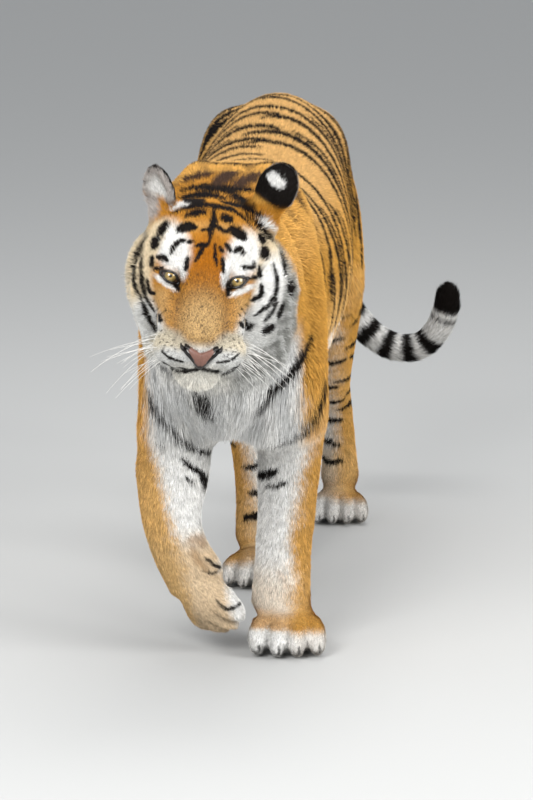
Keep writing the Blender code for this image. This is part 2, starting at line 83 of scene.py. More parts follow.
# Each row is x, y, z of the section's middle, then its half width, and its reach towards and
# away from the loft's reference side (up for the trunk and head, forward for the legs).
TRUNK = [
    (-0.008, -0.235, 0.655, 0.094, 0.125, 0.120),
    (-0.010, -0.150, 0.655, 0.138, 0.215, 0.222),
    (-0.011, 0.000, 0.668, 0.158, 0.280, 0.262),
    (-0.011, 0.180, 0.658, 0.178, 0.268, 0.252),
    (-0.010, 0.380, 0.648, 0.196, 0.256, 0.240),
    (-0.006, 0.560, 0.656, 0.197, 0.264, 0.222),
    (0.000, 0.740, 0.692, 0.174, 0.266, 0.192),
    (0.003, 0.900, 0.718, 0.156, 0.256, 0.165),
    (0.003, 1.040, 0.740, 0.130, 0.208, 0.128),
    (0.002, 1.125, 0.766, 0.084, 0.122, 0.080),
]
NECK = [
    (-0.010, 0.060, 0.700, 0.148, 0.240, 0.220),
    (-0.010, -0.110, 0.718, 0.158, 0.224, 0.270),
    (-0.012, -0.230, 0.738, 0.160, 0.190, 0.260),
    (-0.016, -0.330, 0.764, 0.156, 0.158, 0.215),
    (-0.018, -0.410, 0.785, 0.138, 0.128, 0.165),
]
TAIL = [
    (0.000, 1.080, 0.840, 0.062, 0.062, 0.062),
    (0.002, 1.190, 0.795, 0.050, 0.050, 0.050),
    (0.015, 1.280, 0.700, 0.043, 0.043, 0.043),
    (0.055, 1.350, 0.560, 0.039, 0.039, 0.039),
    (0.108, 1.385, 0.430, 0.037, 0.037, 0.037),
    (0.168, 1.395, 0.352, 0.036, 0.036, 0.036),
    (0.229, 1.395, 0.320, 0.036, 0.036, 0.036),
    (0.284, 1.390, 0.327, 0.035, 0.035, 0.035),
    (0.322, 1.382, 0.368, 0.034, 0.034, 0.034),
    (0.340, 1.375, 0.416, 0.034, 0.034, 0.034),
    (0.343, 1.370, 0.448, 0.031, 0.031, 0.031),
]
FORELEG_LEFT = [
    (0.114, -0.010, 0.800, 0.045, 0.080, 0.090),
    (0.122, -0.070, 0.690, 0.058, 0.105, 0.120),
    (0.121, -0.070, 0.570, 0.065, 0.128, 0.115),
    (0.112, -0.024, 0.460, 0.071, 0.110, 0.088),
    (0.102, -0.030, 0.360, 0.067, 0.068, 0.068),
    (0.099, -0.045, 0.270, 0.061, 0.057, 0.057),
    (0.093, -0.055, 0.180, 0.059, 0.051, 0.052),
    (0.090, -0.070, 0.090, 0.061, 0.050, 0.050),
]
FORELEG_RIGHT = [
    (-0.118, -0.020, 0.800, 0.045, 0.080, 0.090),
    (-0.126, -0.095, 0.690, 0.058, 0.105, 0.120),
    (-0.126, -0.120, 0.570, 0.063, 0.100, 0.114),
    (-0.116, -0.105, 0.450, 0.077, 0.084, 0.090),
    (-0.116, -0.120, 0.360, 0.077, 0.066, 0.070),
    (-0.119, -0.140, 0.285, 0.063, 0.056, 0.058),
    (-0.104, -0.150, 0.220, 0.057, 0.048, 0.052),
    (-0.069, -0.144, 0.152, 0.061, 0.042, 0.046),
]
HINDLEG_LEFT = [
    (0.080, 0.975, 0.840, 0.055, 0.100, 0.125),
    (0.101, 0.955, 0.720, 0.072, 0.165, 0.190),
    (0.115, 0.925, 0.600, 0.074, 0.172, 0.150),
    (0.121, 0.908, 0.500, 0.063, 0.142, 0.130),
    (0.117, 0.937, 0.400, 0.050, 0.094, 0.086),
    (0.113, 1.000, 0.325, 0.041, 0.060, 0.055),
    (0.114, 1.070, 0.265, 0.037, 0.046, 0.048),
    (0.120, 1.085, 0.180, 0.038, 0.036, 0.038),
    (0.124, 1.070, 0.090, 0.044, 0.040, 0.042),
]
HINDLEG_RIGHT = [
    (-0.106, 0.940, 0.840, 0.055, 0.100, 0.130),
    (-0.122, 0.885, 0.720, 0.072, 0.195, 0.225),
    (-0.124, 0.787, 0.610, 0.072, 0.164, 0.158),
    (-0.108, 0.702, 0.510, 0.061, 0.117, 0.110),
    (-0.082, 0.660, 0.420, 0.048, 0.075, 0.076),
    (-0.054, 0.650, 0.320, 0.042, 0.055, 0.055),
    (-0.036, 0.630, 0.235, 0.038, 0.043, 0.050),
    (-0.023, 0.565, 0.155, 0.038, 0.036, 0.038),
    (-0.013, 0.503, 0.085, 0.042, 0.038, 0.040),
]
# The head's own frame: sideways, forward and up from the point halfway between the eyes.
SKULL = [
    (0, -0.230, -0.010, 0.090, 0.075, 0.110),
    (0, -0.160, 0.000, 0.110, 0.092, 0.140),
    (0, -0.090, 0.000, 0.114, 0.096, 0.145),
    (0, -0.030, -0.012, 0.110, 0.076, 0.135),
    (0, 0.020, -0.035, 0.088, 0.050, 0.115),
    (0, 0.070, -0.066, 0.074, 0.046, 0.088),
    (0, 0.115, -0.086, 0.066, 0.036, 0.062),
    (0, 0.145, -0.094, 0.048, 0.026, 0.040),
]
NOSE_BRIDGE = [
    (0, -0.050, 0.050, 0.050, 0.022, 0.050),
    (0, 0.000, 0.026, 0.043, 0.021, 0.050),
    (0, 0.055, -0.006, 0.044, 0.021, 0.050),
    (0, 0.105, -0.037, 0.043, 0.020, 0.050),
    (0, 0.145, -0.066, 0.037, 0.018, 0.036),
]
JAW = [
    (0, -0.110, -0.095, 0.098, 0.050, 0.070),
    (0, -0.040, -0.120, 0.086, 0.045, 0.055),
    (0, 0.040, -0.138, 0.061, 0.036, 0.042),
    (0, 0.095, -0.146, 0.047, 0.030, 0.036),
    (0, 0.126, -0.146, 0.036, 0.024, 0.028),
]
# Soft masses on both sides of the head: middle, then radii, all as side, forward, up.
HEAD_PAIRS = {
    "whisker_pad": ((0.044, 0.102, -0.101), (0.044, 0.054, 0.037)),
    "muzzle_side": ((0.047, 0.060, -0.066), (0.036, 0.074, 0.048)),
    "cheek": ((0.080, -0.060, -0.056), (0.054, 0.090, 0.078)),
    "brow": ((0.048, -0.026, 0.040), (0.040, 0.034, 0.024)),
}
RUFFS = {
    "right": ((-0.092, -0.130, -0.056), (0.048, 0.062, 0.090)),
    "left": ((0.100, -0.130, -0.066), (0.050, 0.062, 0.096)),
}
EAR_ROOTS = {
    "right": ((-0.076, -0.145, 0.066), (0.034, 0.042, 0.040)),
    "left": ((0.102, -0.142, 0.066), (0.042, 0.050, 0.046)),
}
NOSE_PAD = ((0.0, 0.144, -0.086), (0.032, 0.016, 0.018))
# Each ear: its middle in the head's frame, half width, half depth and half height, its lean
# outwards, and its turn about its own height.
EARS = {
    "right": ((-0.091, -0.125, 0.112), (0.036, 0.022, 0.055), 14.0, 35.0),
    "left": ((0.126, -0.130, 0.133), (0.044, 0.022, 0.056), 22.0, 152.0),
}
# Muscles on both sides of the trunk: middle, radii, tilt about X in degrees.
TRUNK_PAIRS = {
    "shoulder_blade": ((0.104, 0.020, 0.750), (0.068, 0.115, 0.172), 14.0),
    "withers": ((0.066, 0.030, 0.822), (0.068, 0.160, 0.132), 0.0),
    "breast": ((0.074, -0.140, 0.510), (0.066, 0.085, 0.095), -20.0),
    "rump": ((0.084, 0.950, 0.790), (0.084, 0.170, 0.140), -12.0),
}
TRUNK_SHIFT = -0.010  # the trunk's midline, a little to the tiger's right of the head's

# The lifted forepaw: where its heel is, which way its toes point, and its turn about them.
LIFTED_PLACE, LIFTED_TOES, LIFTED_TURN = (-0.038, -0.110, 0.134), (0.50, 0.06, -0.864), math.radians(35)

# ---- Driving values --------------------------------------------------------------------------
VOXEL = 0.0112  # grid of the merge, in space swelled round the head and the paws
HEAD_ZOOM, PAW_ZOOM = (0.19, 3.4, 1.2), (0.085, 2.2, 0.40)  # reach, zoom, and end of the squeeze
SMOOTHING = (("trunk", 40), ("chest", 60), ("ears", 40), ("", 6))  # passes of each area, then of all
RING_POINTS = 22  # corners in one loft section
STEPS = 4  # loft rings between two sections
SOLE_LEVEL = 0.0004  # the skin's flats, just above the floor

FACE_TURN, FACE_TILT = 2.0, 23.5  # the face plane against the head's frame
HAIR_SOURCE = (0.0, 0.150, -0.070)  # the nose, from which the head's hair runs
TRUNK_CHART_RADIUS, LEG_CHART_RADIUS = 24.0, 6.0  # centimetres to a radian round the body
NAPE_BANDS = (-10.5, -4)  # centimetres back, where the nape's dark bands cross the spine
TIP_CLEARANCE = 0.0004  # between the floor and the hairs under a paw
FRAY = 0.10  # centimetres, how far beside a tuft its colour may be taken, which frays the marks' edges
# Centimetres added to each stroke's half width, because the pale hairs beside a dark mark lie over it.
FACE_SPREAD, CROWN_SPREAD, FRONT_SPREAD, BODY_SPREAD = 0.13, 0.20, 0.12, 0.52
# Heights up each foreleg, and how far sideways its white front gives way to orange there.
FORE_LEFT_EDGE = (
    (0.10, 0.14, 0.20, 0.25, 0.31, 0.37, 0.42, 0.55),
    (0.115, 0.118, 0.107, 0.116, 0.124, 0.136, 0.155, 0.160),
)
FORE_RIGHT_EDGE = ((0.10, 0.26, 0.32, 0.37, 0.45, 0.55), (-0.075, -0.112, -0.126, -0.137, -0.157, -0.160))
# Bands round the legs: a seed, their heights in centimetres, and the angles that they run between.
FORE_BANDS = ((11, (50.0, 41.0, 33.0), (-150, -60)),)
HIND_BANDS = (
    (21, (60.0, 54.0, 48.5, 43.0, 38.0, 33.5, 29.5, 25.5), (-120, 70)),
    (31, (56.0, 50.0, 44.0, 38.5, 33.0, 28.0, 22.0, 17.0, 13.0), (70, 200)),
)
# Stripes behind the shoulders: half width, then centimetres round from the spine and backwards.
SHOULDER_LINES = (
    (0.70, [(-1.0, 3.0), (9.0, 4.5), (19.0, 8.0), (27.0, 9.5)]),
    (0.80, [(1.0, 10.0), (13.0, 12.0), (25.0, 15.5), (37.0, 17.5)]),
    (0.60, [(4.0, 16.5), (12.0, 18.0), (20.0, 20.5)]),
    (0.75, [(1.0, 4.0), (-9.0, 5.0), (-20.0, 8.5)]),
    (0.80, [(-1.0, 11.0), (-12.0, 13.0), (-24.0, 16.0), (-33.0, 17.0)]),
)
# Strokes on both sides of the head: half width, then centimetres backwards and up.
SIDE_STROKES = (
    (0.45, [(5.5, 6.0), (8.5, 2.0), (9.0, -4.0), (6.0, -9.0)]),
    (0.40, [(9.5, 8.0), (12.5, 3.0), (13.0, -4.0), (10.0, -11.0)]),
    (0.55, [(13.5, 6.0), (16.0, 1.0), (16.5, -6.0), (14.5, -12.0)]),
    (0.35, [(7.0, 11.0), (11.0, 12.0), (15.0, 10.5)]),
)

# Each region's hair: length, coat depth, width at the root, and tufts for a square centimetre.
HAIR = {
    "ear": (0.011, 0.0020, 0.0011, 18.0),
    "chin": (0.020, 0.0050, 0.0012, 22.0),
    "muzzle": (0.0065, 0.0015, 0.0009, 30.0),
    "face": (0.009, 0.0020, 0.0010, 30.0),
    "crown": (0.018, 0.0060, 0.0013, 18.0),
    "cheek": (0.017, 0.0055, 0.0013, 22.0),
    "ruff": (0.031, 0.0110, 0.0017, 14.0),
    "throat": (0.056, 0.0150, 0.0020, 11.0),
    "neck": (0.028, 0.0100, 0.0017, 9.0),
    "back": (0.023, 0.0070, 0.0017, 8.0),
    "haunch": (0.022, 0.0065, 0.0017, 8.0),
    "belly": (0.042, 0.0120, 0.0019, 7.0),
    "leg": (0.015, 0.0040, 0.0014, 12.0),
    "foot": (0.010, 0.0022, 0.0012, 16.0),
    "tail": (0.024, 0.0070, 0.0016, 11.0),
}
HAIRS_IN_TUFT = 3
LONG_HAIR = 0.03  # the length from which a hair has a bend in it
SHOWN = 0.62  # where along a hair its colour is taken, as the hairs behind it cover the rest
DROOP = {"throat": 0.32, "belly": 0.20, "chin": 0.20, "ruff": 0.06}  # sag of long hair, in its lengths
FAN_TURN, FAN_STEP = 0.13, 0.16  # radians, random and even, between the hairs of a tuft
ROOT_DEPTH = 0.0006  # how far a hair's root is sunk in the skin
# How much single hairs differ in length, rise and width from their region's.
LENGTH_RANGE, RISE_RANGE, WIDTH_RANGE = (0.75, 1.12), (0.5, 1.1), (0.75, 1.25)
TUFT_SPREAD, HAIR_TWIST = 1.3, 0.35  # hair widths that a tuft's roots lie apart, and radians of turn
# How much the hairs' brightness differs at random; then painted shade that darkens their roots, painted light
# that brightens their tips, and painted shade that darkens the skin below.
SHADE_SPREAD, ROOT_PAINTED_SHADE, TIP_PAINTED_LIGHT, SKIN_PAINTED_SHADE = 0.19, 0.58, 1.12, 0.60
CLUMP, CLUMP_TURN, CLUMP_SHADE = 0.030, 0.16, 0.05  # metres between locks, and how they differ
MAP_PATCH = 0.003  # the width of a tuft's patch on its map
# A hair's triangles, then where its corners are on its patch, in half widths: straight and bent.
STRAIGHT_HAIR = ([[0, 1, 2]], [(-1, -1), (1, -1), (0, 1)])
BENT_HAIR = ([[0, 1, 3], [0, 3, 2], [2, 3, 4]], [(-1, -1), (1, -1), (-0.8, 0), (0.8, 0), (0, 1)])
# The coat's pieces, and the regions that each covers.
COAT_PIECES = {
    "face": ("face", "muzzle", "chin"),
    "crown": ("crown", "ear", "cheek"),
    "ruff": ("ruff",),
    "neck": ("neck",),
    "throat": ("throat",),
    "back": ("back",),
    "haunches": ("haunch",),
    "belly_left": ("belly_left",),
    "belly_right": ("belly",),
    "foreleg_left": ("leg_fore_left", "foot_fore_left"),
    "foreleg_right": ("leg_fore_right", "foot_fore_right"),
    "hindleg_left": ("leg_hind_left", "foot_hind_left"),
    "hindleg_right": ("leg_hind_right", "foot_hind_right"),
    "tail": ("tail",),
}

IRIS_RADIUS, PUPIL_SHARE, CORNEA_RISE = 0.0122, 0.29, 0.0016  # the pupil's as a share of the iris
EYE_WHITE, PUPIL_BLACK = (0.060, 0.040, 0.030), (0.002, 0.002, 0.002)
IRIS_INNER, IRIS_OUTER = (0.32, 0.21, 0.060), (0.14, 0.105, 0.040)
LID_THICKNESS, LID_REACH, RIM_RADIUS = 0.0012, 0.016, 0.0022
# The eye's opening, outwards and up from the eyeball's middle.
LID_POINTS = (
    (0.0190, 0.0058),
    (0.0115, 0.0082),
    (0.0025, 0.0078),
    (-0.0060, 0.0050),
    (-0.0120, -0.0010),
    (-0.0165, -0.0118),
    (-0.0105, -0.0128),
    (0.0005, -0.0112),
    (0.0108, -0.0055),
)
LIP_PIVOT = 0.050  # forward, the point that the lips run round
# Angles from straight ahead round that point, and the lips' height there.
LIP_CURVE = ((0, 11, 25, 46, 73, 100, 112), (-0.1200, -0.1300, -0.1325, -0.1330, -0.1315, -0.1260, -0.1220))
NOSE_PLACE, NOSE_LEAN = (0.0, 0.147, -0.089), 5.0
# Up, forward, half width, and reach forwards and backwards of the nose leather's wedge.
NOSE_WEDGE = (
    (0.0140, -0.003, 0.0260, 0.006, 0.020),
    (0.0070, 0.002, 0.0330, 0.013, 0.024),
    (-0.0010, 0.004, 0.0310, 0.017, 0.024),
    (-0.0090, 0.004, 0.0230, 0.018, 0.022),
    (-0.0170, 0.003, 0.0140, 0.017, 0.022),
    (-0.0250, 0.000, 0.0060, 0.014, 0.020),
)
NOSE_WING = ((0.0310, 0.000, 0.0100), (0.0085, 0.0120, 0.0090))
NOSTRIL_PATH = ((3.55, 1.55), (2.85, 0.55), (2.05, -0.45), (1.35, -1.20))  # centimetres out and up
NOSE_PINK = (0.165, 0.080, 0.060)
NOSE_TOP, NOSE_DIP = 0.016, 0.0095  # the leather's upper edge at its sides, and its dip between them
NOSE_VOXEL = 0.0011
# How deep the lips' line, the split below the nose, the face's grooves, the bridge's sides and the
# gaps between the toes are cut.
LIP_DEPTH, SPLIT_DEPTH, GROOVE_DEPTH, BESIDE_DEPTH, TOE_DEPTH = 0.0065, 0.0035, 0.0050, 0.0065, 0.0045
TOE_GAPS, TOE_MIDDLES = (-3.95, 0.0, 3.95), (-5.9, -1.95, 1.95, 5.9)  # centimetres across a paw
# The first whisker's root, and the way to the next one behind it and to the row below.
WHISKER_ROOT, WHISKER_STEP, ROW_STEP = (0.036, 0.118, -0.090), (0.0072, -0.0085, 0.0), (0.002, 0.0, -0.0080)

WHISKER_ROWS, WHISKERS_IN_ROW, BROW_WHISKERS = 4, 6, 4
WHISKER_RADIUS, BROW_RADIUS, TIP_RADIUS = 0.0007, 0.0004, 0.00005
BROW_ROOTS = ((-1, (-0.052, 0.040)), (1, (0.055, 0.040)))  # a side, then sideways and up

FLOOR_HALF, FLOOR_GREY, SKY_WHITE = 20.0, (0.46, 0.46, 0.45, 1), (0.93, 0.96, 1.0, 1)
WORLD_LIGHT = 0.66
LIT_PLACE = Vector((0, -0.2, 0.5))  # where the lamps point
# Each lamp: its place, its width and its power.
LAMPS = {
    "key": ((-1.4, -4.4, 3.2), 2.4, 215.0),
    "fill": ((3.8, -2.2, 2.2), 3.0, 185.0),
    "top": ((0.2, 0.6, 4.6), 3.0, 100.0),
}
CAMERA_LENS, CAMERA_AZIMUTH, CAMERA_DISTANCE, CAMERA_HEIGHT = 214.2, 5.0, 9.0, 2.35
CAMERA_AIM = (0.069, -0.15, 0.51)

# ---- Markings --------------------------------------------------------------------------------
ORANGE = (0.54, 0.275, 0.050)
DEEP_ORANGE = (0.36, 0.120, 0.006)
FACE_ORANGE = (0.44, 0.190, 0.024)
SHOULDER_ORANGE = (0.49, 0.250, 0.048)
# Painted sheen: the paler orange along the top of the back.
BACK_SHEEN_ORANGE = (0.56, 0.345, 0.140)
PALE_ORANGE = (0.68, 0.43, 0.17)
CREAM = (0.66, 0.54, 0.36)
WHITE = (0.80, 0.785, 0.75)
SOFT_WHITE = (0.64, 0.635, 0.61)
TAN = (0.33, 0.158, 0.034)
PALE_TAN = (0.58, 0.385, 0.17)
CHIN_WHITE = (0.68, 0.65, 0.58)
BLACK = (0.009, 0.007, 0.006)
# Painted shade in the hollows beside the bridge of the nose.
BROWN = (0.16, 0.075, 0.030)
DARK_BROWN = (0.050, 0.028, 0.018)
PAD_CREAM = (0.60, 0.53, 0.40)
SHADED_WHITE = (0.48, 0.48, 0.47)
# The outer ruff's own grey with dark strands, together with painted shade.
RUFF_GREY_AND_SHADE = (0.16, 0.16, 0.145)
WRIST_BROWN = (0.30, 0.165, 0.065)
GREY = (0.42, 0.38, 0.35)

# Dark strokes on the face, in centimetres sideways (positive to the tiger's left) and up from
# the point between the eyes. The first number is half the stroke's width.
FACE_STROKES = {
    "brow_midline": (0.48, [(0.8, 13.4), (0.9, 11.2), (0.7, 9.3), (0.5, 7.0)]),
    "brow_fork_left": (0.34, [(0.9, 9.8), (1.9, 9.3), (3.0, 8.8), (3.9, 8.8)]),
    "tree_left": (0.26, [(0.7, 11.6), (1.5, 10.6), (1.4, 9.4)]),
    "crown_arc": (0.46, [(-6.7, 11.2), (-4.1, 12.4), (-0.9, 13.2), (2.6, 13.1), (4.9, 12.6), (8.5, 10.1)]),
    "temple_arc_left": (0.32, [(6.6, 12.4), (9.2, 11.5), (10.9, 10.0), (12.7, 7.9)]),
    "forehead_right": (0.53, [(-4.3, 10.9), (-2.4, 11.6), (-0.4, 12.0)]),
    "forehead_left": (0.71, [(2.4, 11.4), (4.4, 10.9)]),
    "brow_right": (0.87, [(-5.4, 8.1), (-4.0, 8.9), (-2.4, 9.1)]),
    "brow_bar": (0.30, [(-1.3, 8.6), (0.0, 8.8), (0.7, 9.4)]),
    "brow_left": (0.96, [(4.2, 9.4), (5.5, 8.8), (7.0, 7.9)]),
    "lid_arc_right": (0.42, [(-6.4, 3.6), (-6.0, 5.1), (-4.9, 6.1), (-4.0, 6.4)]),
    "lid_mark_right": (0.32, [(-3.6, 6.0), (-2.5, 6.3)]),
    "outer_lid_right": (0.53, [(-8.8, 2.8), (-7.9, 2.9), (-7.0, 2.4)]),
    "temple_high_right": (0.56, [(-7.3, 9.5), (-8.2, 8.2), (-8.8, 7.0)]),
    "temple_low_right": (0.62, [(-8.9, 6.7), (-9.3, 5.7), (-9.6, 4.4)]),
    "eye_side_right": (0.35, [(-9.7, 2.9), (-9.8, 0.9)]),
    "cheek_outer_right": (
        0.32,
        [(-10.5, 6.9), (-11.8, 5.0), (-12.5, 2.8), (-12.6, 0.0), (-12.0, -3.2), (-10.7, -5.6)],
    ),
    "cheek_inner_right": (0.27, [(-11.3, 3.4), (-11.5, 0.7), (-11.1, -2.2), (-10.1, -5.0), (-8.4, -7.3)]),
    "cheek_hook_right": (0.28, [(-10.4, -1.2), (-9.8, -3.5), (-8.6, -4.1)]),
    "jaw_right": (0.36, [(-10.8, -5.7), (-9.4, -8.4), (-7.8, -10.6)]),
    "cheek_spot_right": (0.35, [(-7.8, -7.7), (-7.2, -9.1)]),
    "tail_of_eye_right": (0.30, [(-9.5, 0.6), (-7.6, 1.0)]),
    "tear_right": (0.46, [(-5.1, -1.2), (-4.5, -3.1)]),
    "tear_left": (0.46, [(5.0, -0.9), (4.6, -3.2)]),
    "tail_of_eye_left": (0.28, [(8.2, 0.5), (10.3, 0.9)]),
    "bridge_right": (0.42, [(-3.3, 3.4), (-3.5, 0.7)]),
    "bridge_left": (0.35, [(3.1, 3.8), (3.5, 0.8)]),
    "forehead_line_a": (0.25, [(1.5, 6.3), (1.7, 4.2), (2.2, 2.1)]),
    "forehead_line_b": (0.30, [(-0.1, 6.2), (-1.1, 4.3), (-1.8, 2.5)]),
    "forehead_line_c": (0.30, [(-2.2, 5.4), (-0.3, 6.1)]),
    "forehead_line_d": (0.21, [(0.4, 7.0), (0.2, 5.4)]),
    "forehead_line_e": (0.30, [(2.4, 5.8), (3.1, 4.7)]),
    "lid_hook_left": (0.50, [(5.3, 5.1), (6.1, 5.7), (7.1, 4.8)]),
    "lid_mark_left": (0.35, [(3.5, 6.5), (4.7, 4.9)]),
    "outer_lid_left": (0.35, [(6.8, 2.6), (8.2, 2.4), (9.0, 2.7), (9.0, 3.7)]),
    "temple_high_left": (0.84, [(9.9, 9.1), (10.5, 7.5)]),
    "temple_low_left": (0.93, [(10.7, 6.2), (11.1, 4.8)]),
    "eye_side_left": (0.42, [(10.1, 3.0), (10.4, 0.8)]),
    "cheek_hook_left": (0.46, [(10.8, -0.3), (10.8, -2.3), (9.3, -3.6)]),
    "cheek_outer_left": (0.42, [(13.9, 6.1), (14.7, 4.4), (15.1, 1.7)]),
    "cheek_inner_left": (0.40, [(12.5, 3.7), (13.5, 1.1), (13.5, -1.8), (12.5, -3.8), (10.0, -6.3)]),
    "jaw_left": (0.30, [(13.9, -2.6), (13.4, -4.8), (11.7, -7.2)]),
    "ruff_spot_left": (0.60, [(15.9, 0.6), (16.6, -0.8)]),
    "ruff_line_left": (0.46, [(15.3, -3.2), (14.5, -6.1)]),
    "ruff_low_left": (0.70, [(11.9, -8.9), (13.9, -7.6)]),
    "cheek_spot_a": (0.42, [(8.2, -7.2), (9.0, -8.5)]),
    "cheek_spot_b": (0.39, [(9.0, -9.0), (10.0, -7.7)]),
    "cheek_spot_c": (0.32, [(7.2, -7.9), (8.0, -8.8)]),
    "lip_line_right": (0.12, [(-6.8, -14.2), (-5.4, -15.4), (-3.4, -16.0), (-2.4, -16.0)]),
    "lip_line_left": (0.12, [(3.4, -15.7), (5.9, -15.1), (7.7, -13.5)]),
    "mouth": (
        0.20,
        [(-6.2, -16.4), (-3.9, -17.7), (-2.0, -17.9), (0.6, -17.1), (3.2, -17.3), (5.7, -17.2), (8.0, -15.6)],
    ),
    "philtrum": (0.14, [(0.5, -16.2), (0.6, -17.1)]),
}
# The crown's and the nape's marks in the same centimetres: half width, path and softness.
CROWN_STROKES = (
    (0.60, [(-5.2, 15.2), (-2.5, 15.6), (0.5, 15.9), (3.4, 15.4)], 0.3),
    (0.55, [(-4.9, 14.0), (-2.6, 13.9), (-0.6, 14.3)], 0.3),
    (0.70, [(-4.4, 17.3), (-0.8, 17.6), (2.6, 17.4), (5.8, 17.6), (8.4, 17.8)], 0.4),
    (0.55, [(2.2, 14.4), (4.8, 14.2), (7.6, 13.6), (10.4, 12.4)], 0.3),
    (0.60, [(3.6, 16.6), (6.2, 15.6), (8.6, 14.4)], 0.3),
    (1.00, [(-7.0, 18.6), (-4.4, 19.8), (-1.6, 20.6), (0.8, 21.0)], 0.9),
    (1.20, [(1.6, 18.6), (3.6, 20.2), (5.4, 22.0)], 0.9),
    (0.90, [(5.0, 18.6), (7.4, 19.8), (9.4, 21.4)], 0.9),
    (0.90, [(-3.6, 22.0), (-0.8, 22.8), (2.4, 23.4)], 0.9),
    (0.90, [(8.8, 22.6), (11.0, 21.6), (13.0, 20.0)], 0.8),
)
# Pale patches of the face, in the same centimetres: colour, middle, half sizes and turn.
FACE_PATCHES = {
    "brow_right": (WHITE, (-6.1, 4.9), (3.1, 4.7), 12),
    "brow_left": (WHITE, (7.0, 4.6), (3.1, 4.6), -10),
    "ear_base_right": (GREY, (-10.9, 12.8), (1.7, 2.9), 8),
    "inner_eye_right": (WHITE, (-4.1, 1.6), (0.85, 2.6), 8),
    "inner_eye_left": (WHITE, (4.0, 0.9), (0.85, 2.8), -6),
    "under_eye_right": (WHITE, (-6.9, -1.8), (2.5, 0.60), -32),
    "under_eye_left": (WHITE, (7.3, -1.9), (2.7, 0.60), 30),
    "crown_right": (WHITE, (-5.4, 13.0), (2.2, 0.6), 12),
    "crown_left": (WHITE, (10.8, 11.6), (2.4, 0.7), -38),
    "temple_right": (CREAM, (-9.6, 6.0), (1.5, 4.2), -22),
    "temple_left": (CREAM, (11.6, 6.6), (1.8, 4.0), 22),
    "cheek_right": (CREAM, (-11.8, -0.8), (1.8, 7.0), 4),
    "cheek_left": (WHITE, (12.4, -1.0), (2.6, 6.5), -8),
    "jaw_right": (SOFT_WHITE, (-9.6, -9.0), (2.4, 4.4), 24),
    "jaw_left": (SOFT_WHITE, (10.6, -8.6), (3.4, 4.4), -28),
    "pad_right": (PAD_CREAM, (-5.6, -12.9), (3.0, 2.5), 10),
    "pad_left": (PAD_CREAM, (6.2, -12.3), (3.0, 2.4), -10),
    "lip_right": (SOFT_WHITE, (-4.4, -16.2), (3.8, 2.3), -18),
    "lip_left": (SOFT_WHITE, (5.0, -16.0), (3.8, 2.5), 20),
    "under_nose": (SOFT_WHITE, (0.5, -17.0), (2.6, 1.3), 0),
    "chin": (CHIN_WHITE, (0.6, -20.2), (7.6, 3.8), 0),
}
# The hollows down both sides of the bridge of the nose, cut into the skin and darkened with painted shade.
GROOVES = {
    "right": (0.15, [(-4.5, -3.0), (-4.3, -5.2), (-4.5, -8.0), (-4.4, -10.3), (-4.1, -11.8)]),
    "left": (0.15, [(4.2, -2.8), (4.4, -4.6), (4.6, -7.3), (4.4, -9.7), (4.2, -11.5)]),
}
# Hollows between the muscles on both sides: depth, then half width and path in centimetres
# backwards and up.
SIDE_GROOVES = (
    (0.013, 1.6, [(68, 68), (73, 58), (76, 50), (77, 44)]),
    (0.011, 1.6, [(15, 86), (20, 72), (17, 58), (10, 48)]),
    (0.007, 1.2, [(-3, 88), (4, 74), (-2, 62)]),
    (0.008, 1.4, [(101, 82), (98, 68), (93, 56), (90, 49)]),
    (0.010, 1.6, [(-17, 88), (-14, 72), (-17, 58)]),
    (0.006, 1.2, [(-2, 56), (4, 49), (5, 44)]),
)
# Rows of spots on the whisker pads, by side: each row's outer end and how many spots it has.
WHISKER_SPOTS = {
    -1: (((-7.0, -10.7), 4), ((-7.3, -11.8), 5), ((-7.0, -12.9), 4), ((-6.3, -14.0), 3)),
    1: (((7.9, -10.0), 4), ((8.2, -11.2), 5), ((7.9, -12.4), 5), ((7.0, -13.4), 3)),
}
# Small dark flecks beside the muzzle, in the same centimetres.
CHEEK_FLECKS = (
    *((-8.8, -3.7), (-8.9, -5.3), (-7.8, -6.6), (-7.4, -7.7), (-6.6, -7.0), (-7.1, -8.9)),
    *((9.8, -3.1), (8.9, -3.5), (8.4, -4.5), (7.4, -5.3), (8.1, -5.9), (7.0, -6.5)),
    *((8.1, -7.1), (7.6, -8.0), (8.6, -8.4)),
)
# Each ear's white spot: middle, half sizes and turn, in centimetres in the ear's frame.
EAR_SPOTS = {"left": ((0.5, 2.1), (2.1, 1.1), 5), "right": ((0.3, 0.6), (2.2, 1.3), 0)}
